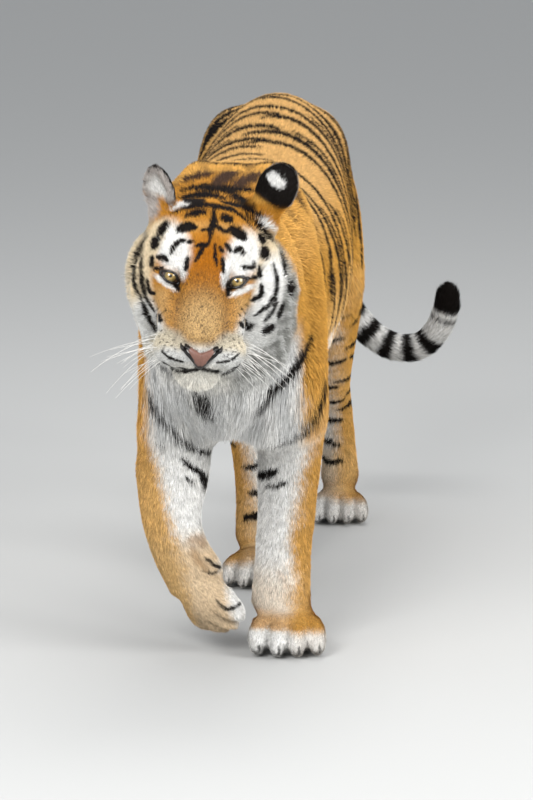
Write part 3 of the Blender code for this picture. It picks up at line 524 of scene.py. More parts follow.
# Dark strokes on the chest and forelegs, as seen from the front: centimetres to the left, up.
FRONT_STROKES = {
    "right_foreleg_long": (
        0.62,
        [(-15.2, 52.8), (-13.2, 50.5), (-11.1, 48.4), (-9.1, 45.8), (-7.5, 43.0), (-4.3, 39.6)],
    ),
    "right_foreleg_low": (0.50, [(-9.6, 40.2), (-7.9, 38.2), (-6.1, 36.4), (-5.2, 34.3), (-5.2, 32.0)]),
    "right_foreleg_thin": (0.20, [(-8.9, 36.1), (-6.9, 33.9)]),
    "right_foreleg_fleck": (0.16, [(-14.0, 43.4), (-11.7, 42.6)]),
    "left_foreleg_long": (
        0.55,
        [(17.1, 53.9), (16.0, 50.3), (14.9, 48.1), (13.2, 46.3), (10.7, 44.8), (7.8, 43.3), (5.0, 42.4)],
    ),
    "chest_band": (0.85, [(5.8, 54.0), (8.6, 55.7), (11.4, 57.6), (13.6, 60.2), (15.0, 63.4)]),
    "throat": (0.85, [(-4.3, 57.5), (-2.8, 55.8), (-1.4, 53.8)]),
    "knee_blotch": (0.80, [(4.2, 33.4), (6.3, 34.5), (8.3, 35.5)]),
    "knee_line": (0.28, [(6.0, 32.0), (8.8, 32.7), (10.8, 33.5)]),
    "right_shoulder": (0.35, [(-17.9, 53.7), (-16.9, 49.7)]),
    "wrist_dash": (0.22, [(-4.8, 19.8), (-3.2, 18.3), (-2.0, 17.4)]),
    "wrist_dash_low": (0.14, [(-5.2, 17.6), (-3.6, 16.9), (-2.2, 17.0)]),
    # A line of painted shade along the crease of the lifted paw's toes.
    "lifted_toe_crease_shade": (0.24, [(-2.6, 11.9), (-1.2, 10.3), (0.6, 9.9), (2.4, 10.6)]),
    "lifted_claw": (0.42, [(1.2, 11.9), (2.3, 11.2)]),
}
BROWN_STROKES = {
    "right_wrist": (0.85, [(-7.9, 23.4), (-6.4, 23.6), (-5.2, 22.0)]),
    "right_wrist_side": (0.55, [(-7.4, 22.0), (-6.2, 19.6), (-4.4, 17.6)]),
    "left_pastern": (0.05, [(8.8, 15.9), (10.9, 12.6)]),
}
# Where the dark rings of the tail begin and end, as shares of its length, and their edges' blur.
RING_BLUR = 0.004
TAIL_RINGS = (
    (0.17, 0.20),
    (0.25, 0.285),
    (0.335, 0.38),
    (0.43, 0.475),
    (0.53, 0.58),
    (0.625, 0.66),
    (0.687, 0.721),
    (0.747, 0.778),
    (0.802, 0.833),
    (0.854, 0.886),
    (0.934, 0.942),
    (0.958, 1.20),
)


def head_frame():
    """From the head's own frame, with y backwards, to the design frame."""
    turn = (
        Matrix.Rotation(math.radians(HEAD_YAW), 4, "Z")
        @ Matrix.Rotation(math.radians(HEAD_PITCH), 4, "X")
        @ Matrix.Rotation(math.radians(HEAD_ROLL), 4, "Y")
    )
    return Matrix.Translation(EYE_MIDPOINT) @ turn


def in_head(side, forward, up):
    """A place beside, before and above the point between the eyes, for head_frame() to take."""
    return Vector((side, -forward, up))


def spline(rows, steps):
    """Catmull-Rom rows between the given rows of numbers, both ends kept."""
    padded = [rows[0], *rows, rows[-1]]
    found = []
    for a, b, c, d in zip(padded, padded[1:], padded[2:], padded[3:]):
        for i in range(steps):
            t = i / steps
            weights = (
                -0.5 * t + t * t - 0.5 * t**3,
                1 - 2.5 * t * t + 1.5 * t**3,
                0.5 * t + 2 * t * t - 1.5 * t**3,
                -0.5 * t * t + 0.5 * t**3,
            )
            found.append([sum(w * value for w, value in zip(weights, column)) for column in zip(a, b, c, d)])
    return [*found, list(rows[-1])]


def loft(form, sections, towards, place=None, steps=STEPS, square=1.0, corners=RING_POINTS):
    """Adds a closed loft through the sections to the bmesh, with rounded ends.

    place is a 4x4 that the points are taken through, and square under 1 fills the sections' corners.
    """
    rows = spline(sections, steps)
    middles = [Vector(row[:3]) for row in rows]
    normal = Vector(towards)
    rings = []
    for i, row in enumerate(rows):
        along = (middles[min(i + 1, len(rows) - 1)] - middles[max(i - 1, 0)]).normalized()
        normal = (normal - along * normal.dot(along)).normalized()
        rings.append((middles[i], along, normal.copy(), normal.cross(along), row[3:]))
    ends = []
    for ring, way in ((rings[0], -1), (rings[-1], 1)):
        depth = min(ring[4]) * 0.8
        caps = []
        for degrees in (30, 55, 78):
            angle = math.radians(degrees)
            shift = ring[1] * (way * depth * math.sin(angle))
            sizes = [size * math.cos(angle) for size in ring[4]]
            caps.append((ring[0] + shift, ring[1], ring[2], ring[3], sizes))
        ends.append(caps)
    rings = [*reversed(ends[0]), *rings, *ends[1]]
    loops = []
    for middle, _, normal, across, (width, near, far) in rings:
        loop = []
        for k in range(corners):
            angle = 2 * math.pi * k / corners
            out = math.copysign(abs(math.cos(angle)) ** square, math.cos(angle))
            rise = math.copysign(abs(math.sin(angle)) ** square, math.sin(angle))
            reach = near if rise > 0 else far
            point = middle + across * (width * out) + normal * (reach * rise)
            loop.append(form.verts.new(place @ point if place else point))
        loops.append(loop)
    made = []
    for one, two in zip(loops, loops[1:]):
        for k in range(corners):
            n = (k + 1) % corners
            made.append(form.faces.new((one[k], one[n], two[n], two[k])))
    made.append(form.faces.new(loops[0]))
    made.append(form.faces.new(loops[-1]))
    bmesh.ops.recalc_face_normals(form, faces=made)


def ellipsoid(form, middle, radii, place, rings=12):
    """Adds an ellipsoid to the bmesh. place is a 4x4 that its middle is taken through."""
    shape = place @ Matrix.Translation(middle) @ Matrix.Diagonal((*radii, 1))
    bmesh.ops.create_uvsphere(form, u_segments=rings + rings // 3, v_segments=rings, radius=1.0, matrix=shape)


def add_object(name, form, collection):
    """A mesh object made from the bmesh, which is freed."""
    mesh = bpy.data.meshes.new(name)
    form.to_mesh(mesh)
    form.free()
    made = bpy.data.objects.new(name, mesh)
    collection.objects.link(made)
    return made


def evaluated(obj, name, collection):
    """A new mesh object with the modifiers of obj applied. obj is removed."""
    graph = bpy.context.evaluated_depsgraph_get()
    mesh = bpy.data.meshes.new_from_object(obj.evaluated_get(graph))
    mesh.name = name
    bpy.data.objects.remove(obj)
    made = bpy.data.objects.new(name, mesh)
    collection.objects.link(made)
    return made


def boolean(obj, other, operation, name, collection):
    """A new object, what the operation makes of obj and other. Both are kept."""
    made = bpy.data.objects.new(name, obj.data.copy())
    collection.objects.link(made)
    cut = made.modifiers.new("cut", "BOOLEAN")
    cut.operation = operation
    cut.solver = "EXACT"
    cut.object = other
    return tidied(evaluated(made, name, collection))


def tidied(obj):
    """Welds slivers and keeps only the largest body of the object."""
    form = bmesh.new()
    form.from_mesh(obj.data)
    bmesh.ops.remove_doubles(form, verts=form.verts, dist=2e-5)
    bmesh.ops.dissolve_degenerate(form, edges=form.edges, dist=2e-5)
    bmesh.ops.triangulate(form, faces=form.faces)
    left = set(form.verts)
    bodies = []
    while left:
        body = {left.pop()}
        front = list(body)
        while front:
            for edge in front.pop().link_edges:
                for vert in edge.verts:
                    if vert in left:
                        left.discard(vert)
                        body.add(vert)
                        front.append(vert)
        bodies.append(body)
    largest = max(bodies, key=len)
    bmesh.ops.delete(form, geom=[v for v in form.verts if v not in largest], context="VERTS")
    form.to_mesh(obj.data)
    form.free()
    return obj


def paw(form, place, size, spread=1.0):
    """A paw with four toes. place is its frame: x across, -y forward, z up from the sole."""
    frame = place @ Matrix.Diagonal((size * spread, size, size, 1))
    ellipsoid(form, (0, 0.005, 0.040), (0.066, 0.076, 0.054), frame)
    for i in range(4):
        across = (i - 1.5) * 0.037
        reach = 0.092 - 0.009 * abs(i - 1.5) ** 1.5
        toe = [
            (across * 0.80, 0.000, 0.056, 0.020, 0.022, 0.040),
            (across * 0.98, -reach + 0.036, 0.052, 0.0215, 0.021, 0.060),
            (across * 1.06, -reach + 0.016, 0.036, 0.0210, 0.020, 0.052),
            (across * 1.08, -reach + 0.005, 0.022, 0.0170, 0.018, 0.034),
        ]
        loft(form, toe, UP, frame, steps=3)


def standing_paw(x, y, turn):
    """The frame of a paw flat on the floor. turn is its outward turn in degrees."""
    return Matrix.Translation((x, y, 0)) @ Matrix.Rotation(math.radians(turn), 4, "Z")


def lifted_paw():
    """The frame of the right forepaw, hanging from the bent wrist with its back to the front."""
    forward = Vector(LIFTED_TOES).normalized()
    upward = Vector((-math.sin(LIFTED_TURN), -math.cos(LIFTED_TURN), 0))
    upward = (upward - forward * upward.dot(forward)).normalized()
    turn = Matrix((upward.cross(-forward), -forward, upward)).transposed().to_4x4()
    return Matrix.Translation(LIFTED_PLACE) @ turn


def ear_frame(side):
    """The frame of one ear: x along its width, y through it, z along its height."""
    middle, _, lean, turn = EARS[side]
    outwards = math.copysign(1, middle[0])
    return (
        head_frame()
        @ Matrix.Translation(in_head(*middle))
        @ Matrix.Rotation(math.radians(lean * outwards), 4, "Y")
        @ Matrix.Rotation(math.radians(turn * outwards), 4, "Z")
    )


def add_ear(side, collection):
    """An ear: a flat egg with its front hollowed by a smaller one."""
    width, depth, height = EARS[side][1]
    form = bmesh.new()
    ellipsoid(form, (0, 0, 0), (width, depth, height), ear_frame(side))
    ear = add_object("ear_form_" + side, form, collection)
    form = bmesh.new()
    ellipsoid(form, (0, -0.024, 0.004), (width - 0.008, depth + 0.004, height - 0.009), ear_frame(side))
    hollow = add_object("ear_hollow_" + side, form, collection)
    made = boolean(ear, hollow, "DIFFERENCE", "ear_cup_" + side, collection)
    bpy.data.objects.remove(ear)
    bpy.data.objects.remove(hollow)
    return made


PAWS = (
    (standing_paw(0.107, -0.092, 3), 1.0, 1.0),
    (lifted_paw(), 0.96, 0.70),
    (standing_paw(0.123, 1.050, 6), 0.82, 1.0),
    (standing_paw(-0.008, 0.448, -2), 0.84, 1.0),
)


def design_shift():
    """From the design frame to the row frame, worked out from where the CAD model's left eye is."""
    low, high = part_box("eye_left")
    return (low + high) / 2 - head_frame() @ in_head(*EYE_CENTRE)


SHIFT = design_shift()
FLOOR = TIP_CLEARANCE - SHIFT[2]  # the lowest that a hair's tip reaches, in the design frame


# ---- The skin --------------------------------------------------------------------------------
def add_flesh_form(collection):
    """All the flesh as one object of overlapping closed shells, in the design frame."""
    form = bmesh.new()
    for sections in (TRUNK, NECK, TAIL):
        loft(form, sections, UP)
    for leg in (FORELEG_LEFT, FORELEG_RIGHT, HINDLEG_LEFT, HINDLEG_RIGHT):
        loft(form, leg, FORWARD)
    for place, size, spread in PAWS:
        paw(form, place, size, spread)
    for middle, radii, tilt in TRUNK_PAIRS.values():
        for side in (-1, 1):
            place = Matrix.Translation((middle[0] * side + TRUNK_SHIFT, middle[1], middle[2]))
            ellipsoid(form, (0, 0, 0), radii, place @ Matrix.Rotation(math.radians(tilt), 4, "X"))
    frame_of_head = head_frame()
    for sections in (SKULL, NOSE_BRIDGE, JAW):
        rows = [(s, -f, u, *sizes) for s, f, u, *sizes in sections]
        loft(form, rows, UP, frame_of_head, square=0.85)
    for middle, radii in (*EAR_ROOTS.values(), *RUFFS.values()):
        ellipsoid(form, in_head(*middle), radii, frame_of_head)
    for (s, f, u), radii in HEAD_PAIRS.values():
        for side in (-1, 1):
            ellipsoid(form, in_head(s * side, f, u), radii, frame_of_head)
    ellipsoid(form, in_head(*NOSE_PAD[0]), NOSE_PAD[1], frame_of_head)
    flesh = add_object("flesh_form", form, collection)
    ears = [add_ear(side, collection) for side in EARS]
    with bpy.context.temp_override(
        active_object=flesh, selected_editable_objects=[flesh, *ears], selected_objects=[flesh, *ears]
    ):
        bpy.ops.object.join()
    return flesh


def rows_of(items, name):
    """A three-number property of each of a mesh's items, as an array."""
    found = np.empty(len(items) * 3, np.float32)
    items.foreach_get(name, found)
    return found.reshape(-1, 3).astype(np.float64)


def points_of(mesh):
    """Where the mesh's points are."""
    return rows_of(mesh.vertices, "co")


def normals_of(mesh):
    """Which way the mesh faces at each of its points."""
    return rows_of(mesh.vertex_normals, "vector")


def taken(points, place):
    """The points taken through a 4x4."""
    matrix = np.array(place)
    return points @ matrix[:3, :3].T + matrix[:3, 3]


def within(points, place):
    """The points in the coordinates of the frame that a 4x4 places."""
    return taken(points, np.linalg.inv(np.array(place)))


def in_paw(points, place, size, spread):
    """The points in the frame of one of PAWS, in centimetres at a paw's full size."""
    return within(points, place @ Matrix.Diagonal((size * spread, size, size, 1))) * 100


def set_points(mesh, points):
    """Moves the mesh's points."""
    mesh.vertices.foreach_set("co", points.astype(np.float32).ravel())
    mesh.update()


def swelled(points, middle, reach, zoom, outer, back=False):
    """Space zoomed within reach of a point, squeezed from there to outer, and beyond it left alone."""
    away = points - middle
    far = np.linalg.norm(away, axis=1, keepdims=True)
    before, after = (0, reach, outer), (0, reach * zoom, outer)
    if back:
        before, after = after, before
    new = np.where(far < outer, np.interp(far, before, after), far)
    return middle + away * (new / np.maximum(far, 1e-9))


def fine_spots():
    """Where the merge's grid is finer, each spot in the space that those before it have swelled."""
    spots = [(head_frame() @ in_head(0, -0.01, -0.02), *HEAD_ZOOM)]
    spots += [(place @ Vector((0, -0.04, 0.035)), *PAW_ZOOM) for place, _, _ in PAWS]
    found = []
    for middle, *sizes in spots:
        middle = np.array(middle)[None]
        for earlier in found:
            middle = swelled(middle, *earlier)
        found.append((middle, *sizes))
    return found


def widened(points, back=False):
    """Swells space round the head and the paws, so that one even grid is finer there."""
    spots = fine_spots()
    for spot in reversed(spots) if back else spots:
        points = swelled(points, *spot, back=back)
    return points


def step(values, low, high):
    """0 below low, 1 above high, smooth between them."""
    t = np.clip((values - low) / (high - low), 0, 1)
    return t * t * (3 - 2 * t)


def to_head(points):
    """Design points as side, forward and up in the head's frame."""
    return taken(points, head_frame().inverted()) * np.array([1, -1, 1])


def merged_flesh(collection):
    """The flesh form as one smooth closed surface out to the tips of the coat."""
    flesh = add_flesh_form(collection)
    set_points(flesh.data, widened(points_of(flesh.data)))
    remesh = flesh.modifiers.new("merge", "REMESH")
    remesh.mode = "VOXEL"
    remesh.voxel_size = VOXEL
    flesh = evaluated(flesh, "flesh", collection)
    points = widened(points_of(flesh.data), back=True)
    set_points(flesh.data, points)
    head = to_head(points)
    trunk_share = (
        (1 - step(head[:, 1], -0.27, -0.17))
        * step(points[:, 2], 0.34, 0.46)
        * (1 - step(points[:, 1], 1.16, 1.24))
    )
    chest_share = step(points[:, 2], 0.36, 0.44) * (1 - step(points[:, 2], 0.60, 0.70))
    chest_share *= 1 - step(points[:, 1], -0.02, 0.10)
    ear_share = step(-head[:, 1], 0.07, 0.10) * (1 - step(-head[:, 1], 0.20, 0.26))
    ear_share *= step(head[:, 2], 0.010, 0.035) * (1 - step(head[:, 2], 0.085, 0.100))
    for name, shares in (("trunk", trunk_share), ("chest", chest_share), ("ears", ear_share)):
        group = flesh.vertex_groups.new(name=name)
        for index, share in enumerate(shares.tolist()):
            group.add([index], share, "REPLACE")
    for name, passes in SMOOTHING:
        smooth = flesh.modifiers.new("soften" + name, "SMOOTH")
        smooth.factor = 0.5
        smooth.iterations = passes
        smooth.vertex_group = name
    return tidied(evaluated(flesh, "flesh", collection))


# ---- Where things are on the body ------------------------------------------------------------
def along(sections, values, axis, column):
    """A section column looked up at values of one coordinate, for sections in its order."""
    rows = spline(sections, 6)
    rows.sort(key=lambda row: row[axis])
    keys = [row[axis] for row in rows]
    return np.interp(values, keys, [row[column] for row in rows])


def trunk_angle(points):
    """Angle round the trunk from the spine, positive to the tiger's left."""
    middle_x = along(TRUNK, points[:, 1], 1, 0)
    middle_z = along(TRUNK, points[:, 1], 1, 2)
    return np.degrees(np.arctan2(points[:, 0] - middle_x, points[:, 2] - middle_z))


def leg_angle(points, sections, side):
    """Angle about the leg, 0 outwards, 90 forwards and 180 inwards."""
    out = (points[:, 0] - along(sections, points[:, 2], 2, 0)) * side
    front = along(sections, points[:, 2], 2, 1) - points[:, 1]
    return np.degrees(np.arctan2(front, out))


def face_chart(points):
    """Sideways and up across the face, from the point between the eyes."""
    side, forward, up = to_head(points).T
    turn, tilt = math.radians(FACE_TURN), math.radians(FACE_TILT)
    across = side * math.cos(turn) + forward * math.sin(turn)
    ahead = forward * math.cos(turn) - side * math.sin(turn)
    return across, up * math.cos(tilt) - ahead * math.sin(tilt)


def tail_chart(points):
    """Share of the tail's length at each point, and the tail's direction there."""
    rows = np.array(spline(TAIL, 8))[:, :3]
    lengths = np.linalg.norm(np.diff(rows, axis=0), axis=1)
    travelled = np.concatenate([[0], np.cumsum(lengths)])
    nearest = np.empty(len(points), int)
    for start in range(0, len(points), 20000):
        some = points[start : start + 20000]
        gaps = np.linalg.norm(some[:, None] - rows[None], axis=2)
        nearest[start : start + 20000] = gaps.argmin(axis=1)
    ways = np.gradient(rows, axis=0)
    ways /= np.linalg.norm(ways, axis=1, keepdims=True)
    fine = ((points - rows[nearest]) * ways[nearest]).sum(axis=1)
    return (travelled[nearest] + fine) / travelled[-1], ways[nearest]


def unit(vectors):
    """The vectors at a length of 1."""
    return vectors / np.maximum(np.linalg.norm(vectors, axis=1, keepdims=True), 1e-9)


def leg_shares(points):
    """How far each point belongs to each of the four legs, by name."""
    x, y, z = points.T
    fore = 1 - step(y, 0.09, 0.16)
    low_fore = 1 - step(z, 0.38, 0.52)
    low_hind = 1 - step(z, 0.46, 0.62)
    left_hind_line = np.interp(z, (0.0, 0.25, 0.45, 0.60), (0.80, 0.82, 0.76, 0.80))
    is_left_fore = x > np.interp(z, (0.0, 0.10, 0.25, 0.45), (0.033, 0.030, 0.010, 0.0))
    is_left_hind = (x > 0.0) & (y > left_hind_line - 0.08)
    tail = step(y, 1.16, 1.20)
    front_line = np.interp(z, (0.0, 0.10, 0.25, 0.40, 0.62), (0.30, 0.34, 0.50, 0.54, 0.62))
    hind = step(y, front_line, front_line + 0.05) * (1 - tail)
    return {
        "fore_left": fore * low_fore * is_left_fore,
        "fore_right": fore * low_fore * ~is_left_fore,
        "hind_left": hind * low_hind * is_left_hind,
        "hind_right": hind * low_hind * ~is_left_hind,
        "tail": tail,
    }


LEGS = {
    "fore_left": (FORELEG_LEFT, 1),
    "fore_right": (FORELEG_RIGHT, -1),
    "hind_left": (HINDLEG_LEFT, 1),
    "hind_right": (HINDLEG_RIGHT, -1),
}


def regions(points, normals):
    """Shares, which add up to 1, of the coat's regions at each point."""
    side, forward, up = to_head(points).T
    across, rise = face_chart(points)
    shares = leg_shares(points)
    nape = 0.06 * step(up, 0.03, 0.07)
    is_head = step(forward + nape, -0.22, -0.16) * (1 - step(points[:, 1] - nape, -0.33, -0.24))
    is_head *= step(up, -0.25, -0.19)
    ear = is_head * step(up - 0.10 * np.abs(side), 0.082, 0.096) * (1 - step(forward, -0.085, -0.06))
    ear *= step(np.abs(side), 0.045, 0.06)
    edge = np.hypot(across / 0.108, (rise + 0.020) / 0.122)
    ruff = is_head * np.maximum(step(edge, 0.88, 1.10), step(-forward, 0.04, 0.10))
    crown = step(up, 0.045, 0.080)
    low = (1 - step(up, -0.030, 0.025)) * step(-forward, 0.06, 0.12)
    chin = step(-up, 0.134, 0.146) * step(forward, 0.02, 0.05)
    muzzle = step(forward, 0.055, 0.085)
    face = is_head * (1 - ear)
    skull = face * (1 - muzzle) * (1 - chin) * ruff
    found = {
        "ear": ear,
        "chin": face * chin,
        "muzzle": face * muzzle * (1 - chin),
        "crown": skull * crown,
        "cheek": skull * (1 - crown) * (1 - low),
        "ruff": skull * (1 - crown) * low,
    }
    found["face"] = np.clip(face - sum(found[key] for key in found if key != "ear"), 0, 1)
    body = 1 - is_head
    found["tail"] = shares["tail"] * body
    for name in LEGS:
        foot = 1 - step(points[:, 2], 0.085, 0.135)
        if name == "fore_right":
            foot = 1 - step(points[:, 2], 0.16, 0.22)
        found["foot_" + name] = shares[name] * body * foot
        found["leg_" + name] = shares[name] * body * (1 - foot)
    limbs = sum(share for key, share in found.items() if key.startswith(("foot", "leg", "tail")))
    rest = np.clip(body - limbs, 0, 1)
    low = step(np.abs(trunk_angle(points)), 105, 130)
    neck = 1 - step(points[:, 1], -0.10, 0.02)
    facing = step(-normals[:, 1], 0.25, 0.65) * (1 - step(np.abs(points[:, 0] - TRUNK_SHIFT), 0.120, 0.150))
    throat = np.clip(neck * np.maximum(low, facing) + facing * (1 - step(points[:, 1], 0.0, 0.1)), 0, 1)
    found["throat"] = rest * throat
    found["neck"] = rest * (1 - throat) * neck
    found["belly"] = rest * (1 - throat) * (1 - neck) * low
    side_of = rest * (1 - throat) * (1 - neck) * (1 - low)
    haunch = step(points[:, 1], 0.62, 0.80)
    found["haunch"] = side_of * haunch
    found["back"] = side_of * (1 - haunch)
    return found


def hair_of(shares):
    """The hair's length, depth, width and density at each point, blended between regions."""
    count = len(next(iter(shares.values())))
    blend = np.zeros((count, 4))
    total = np.zeros((count, 1))
    for name, share in shares.items():
        blend += share[:, None] * np.array(HAIR[name.split("_")[0]])
        total += share[:, None]
    return (blend / np.maximum(total, 1e-6)).T


def flow(points, normals, shares):
    """The lie of the coat: unit vectors along the surface, from root to tip."""
    lie = np.zeros_like(points)
    head = to_head(points)
    frame_of_head = np.array(head_frame())[:3, :3] * np.array([1, -1, 1])
    from_nose = unit(head - np.array(HAIR_SOURCE))
    droop = {"muzzle": (0, -0.3, -0.15), "face": (0, -0.25, 0), "crown": (0, -0.9, 0.1)}
    droop |= {"cheek": (0, -0.90, -0.25), "ruff": (0, -0.60, -0.60), "chin": (0, -0.25, -0.9)}
    for name, extra in droop.items():
        lie += shares[name][:, None] * unit(from_nose + np.array(extra)) @ frame_of_head.T
    for side in EARS:
        ear = ear_frame(side)
        up_ear = np.array(ear.to_3x3() @ Vector((0, 0, 1)))
        inner = unit(points - np.array(ear @ Vector((0, 0, -0.06))))
        is_side = (head[:, 0] > 0) == (side == "left")
        lie += (shares["ear"] * is_side)[:, None] * (up_ear + 0.6 * inner)
    angle = np.radians(trunk_angle(points))
    down = 0.15 + 0.75 * np.sin(np.minimum(np.abs(angle), math.pi / 2)) ** 2
    backward = np.stack([0 * angle, 1 + 0 * angle, -down], axis=1)
    for name in ("back", "haunch", "belly", "neck"):
        lie += shares[name][:, None] * unit(backward)
    hang = unit(np.stack([0.25 * points[:, 0] / 0.15, 0.15 + 0 * angle, -1 + 0 * angle], axis=1))
    lie += shares["throat"][:, None] * hang
    for name, (sections, _) in LEGS.items():
        z = points[:, 2]
        slope_x = along(sections, z - 0.02, 2, 0) - along(sections, z + 0.02, 2, 0)
        slope_y = along(sections, z - 0.02, 2, 1) - along(sections, z + 0.02, 2, 1)
        down_leg = unit(np.stack([slope_x, slope_y + 0.010, -0.04 + 0 * z], axis=1))
        lie += shares["leg_" + name][:, None] * down_leg
        toes = np.array(LIFTED_TOES if name == "fore_right" else (0, -1, -0.35))
        lie += shares["foot_" + name][:, None] * toes
    lie += shares["tail"][:, None] * tail_chart(points)[1]
    lie -= normals * (lie * normals).sum(axis=1, keepdims=True)
    return unit(lie)


def stroke(across, up, half, path, soft=0.14):
    """Cover from 0 to 1 of a tapered brush stroke along a smooth path, all in one chart's units."""
    rows = np.array(spline(path, 5))
    low, high = rows.min(axis=0) - half - soft, rows.max(axis=0) + half + soft
    near = (across > low[0]) & (across < high[0]) & (up > low[1]) & (up < high[1])
    cover = np.zeros(len(across))
    if not near.any():
        return cover
    point = np.stack([across[near], up[near]], axis=1)
    best = np.full(len(point), -1e9)
    shares = np.linspace(0, 1, len(rows))
    for a, b, one, two in zip(rows, rows[1:], shares, shares[1:]):
        way = b - a
        t = np.clip(((point - a) @ way) / max(way @ way, 1e-9), 0, 1)
        gap = np.linalg.norm(point - a - t[:, None] * way, axis=1)
        place = one + (two - one) * t
        width = half * (0.35 + 0.65 * np.sin(math.pi * place) ** 0.6)
        best = np.maximum(best, width - gap)
    cover[near] = step(best, -soft / 2, soft / 2)
    return cover


def patch(across, up, middle, sizes, turn, soft=0.35):
    """Cover from 0 to 1 of a soft oval in a chart."""
    angle = math.radians(turn)
    x, y = across - middle[0], up - middle[1]
    along_it = (x * math.cos(angle) + y * math.sin(angle)) / sizes[0]
    over_it = (y * math.cos(angle) - x * math.sin(angle)) / sizes[1]
    return 1 - step(np.hypot(along_it, over_it), 1 - soft, 1 + soft)


def waves(u, v, size):
    """A smooth uneven field from about -1 to 1, whose hills are about size apart."""
    u, v = u * 3 / size, v * 3 / size
    return (np.sin(1.7 * u + 0.9 * v) + np.sin(2.3 * v - 1.1 * u + 1.3) + np.sin(2.9 * u + 0.4 * v + 4.1)) / 3


def body_strokes(seed):
    """Stripes of the trunk as (half width, path): centimetres round from the spine, then back."""
    draw = np.random.default_rng(seed)
    found = list(SHOULDER_LINES)
    for side in (-1, 1):
        back = 22.0
        while back < 114:
            reach = draw.uniform(84, 122)
            start = draw.uniform(22, 45) if draw.random() < 0.15 else draw.uniform(-9, -1)
            lean = draw.uniform(0, 5) - 9 * float(step(np.array(back), 70, 100))
            half = draw.uniform(0.70, 1.20)
            shares = np.linspace(0, 1, 7)
            angles = start + (reach - start) * shares
            rows = back + lean * shares + 3.0 * np.sin(math.pi * shares) + draw.normal(0, 0.4, 7)
            path = list(zip(np.radians(angles) * TRUNK_CHART_RADIUS * side, rows))
            found.append((half, path))
            if draw.random() < 0.40 and back < 85:
                gap = 3.9 * np.sin(math.pi * np.clip(shares * 1.15, 0, 1)) ** 0.6
                found.append((half * 0.55, [(u, v + g) for (u, v), g in zip(path, gap)][1:6]))
                back += 2.4
            if draw.random() < 0.5:
                angles = np.linspace(draw.uniform(78, 92), draw.uniform(112, 130), 4)
                rows = back + 3.2 + lean + np.linspace(0, lean / 2, 4) + draw.normal(0, 0.3, 4)
                found.append((half * 0.8, list(zip(np.radians(angles) * TRUNK_CHART_RADIUS * side, rows))))
            back += draw.uniform(4.8, 6.8)
    return found


def leg_strokes(seed, levels, turns):
    """Bands round a leg as (half width, path): centimetres round from its outer side, then up."""
    draw = np.random.default_rng(seed)
    found = []
    for level in levels:
        first, last = (turn + draw.uniform(-15, 15) for turn in turns)
        angles = np.linspace(first, last, 6)
        slope = draw.uniform(-2.0, 2.0)
        rows = level + slope * np.linspace(-0.5, 0.5, 6) + draw.normal(0, 0.25, 6)
        found.append((draw.uniform(0.42, 0.72), list(zip(np.radians(angles) * LEG_CHART_RADIUS, rows))))
    return found


def plain(paint, count):
    """The same colour at each of that many points."""
    return np.tile(np.array(paint), (count, 1))


def covered(colour, cover, paint):
    """The colour with paint over it, as far as cover says."""
    return colour * (1 - cover[:, None]) + np.array(paint) * cover[:, None]


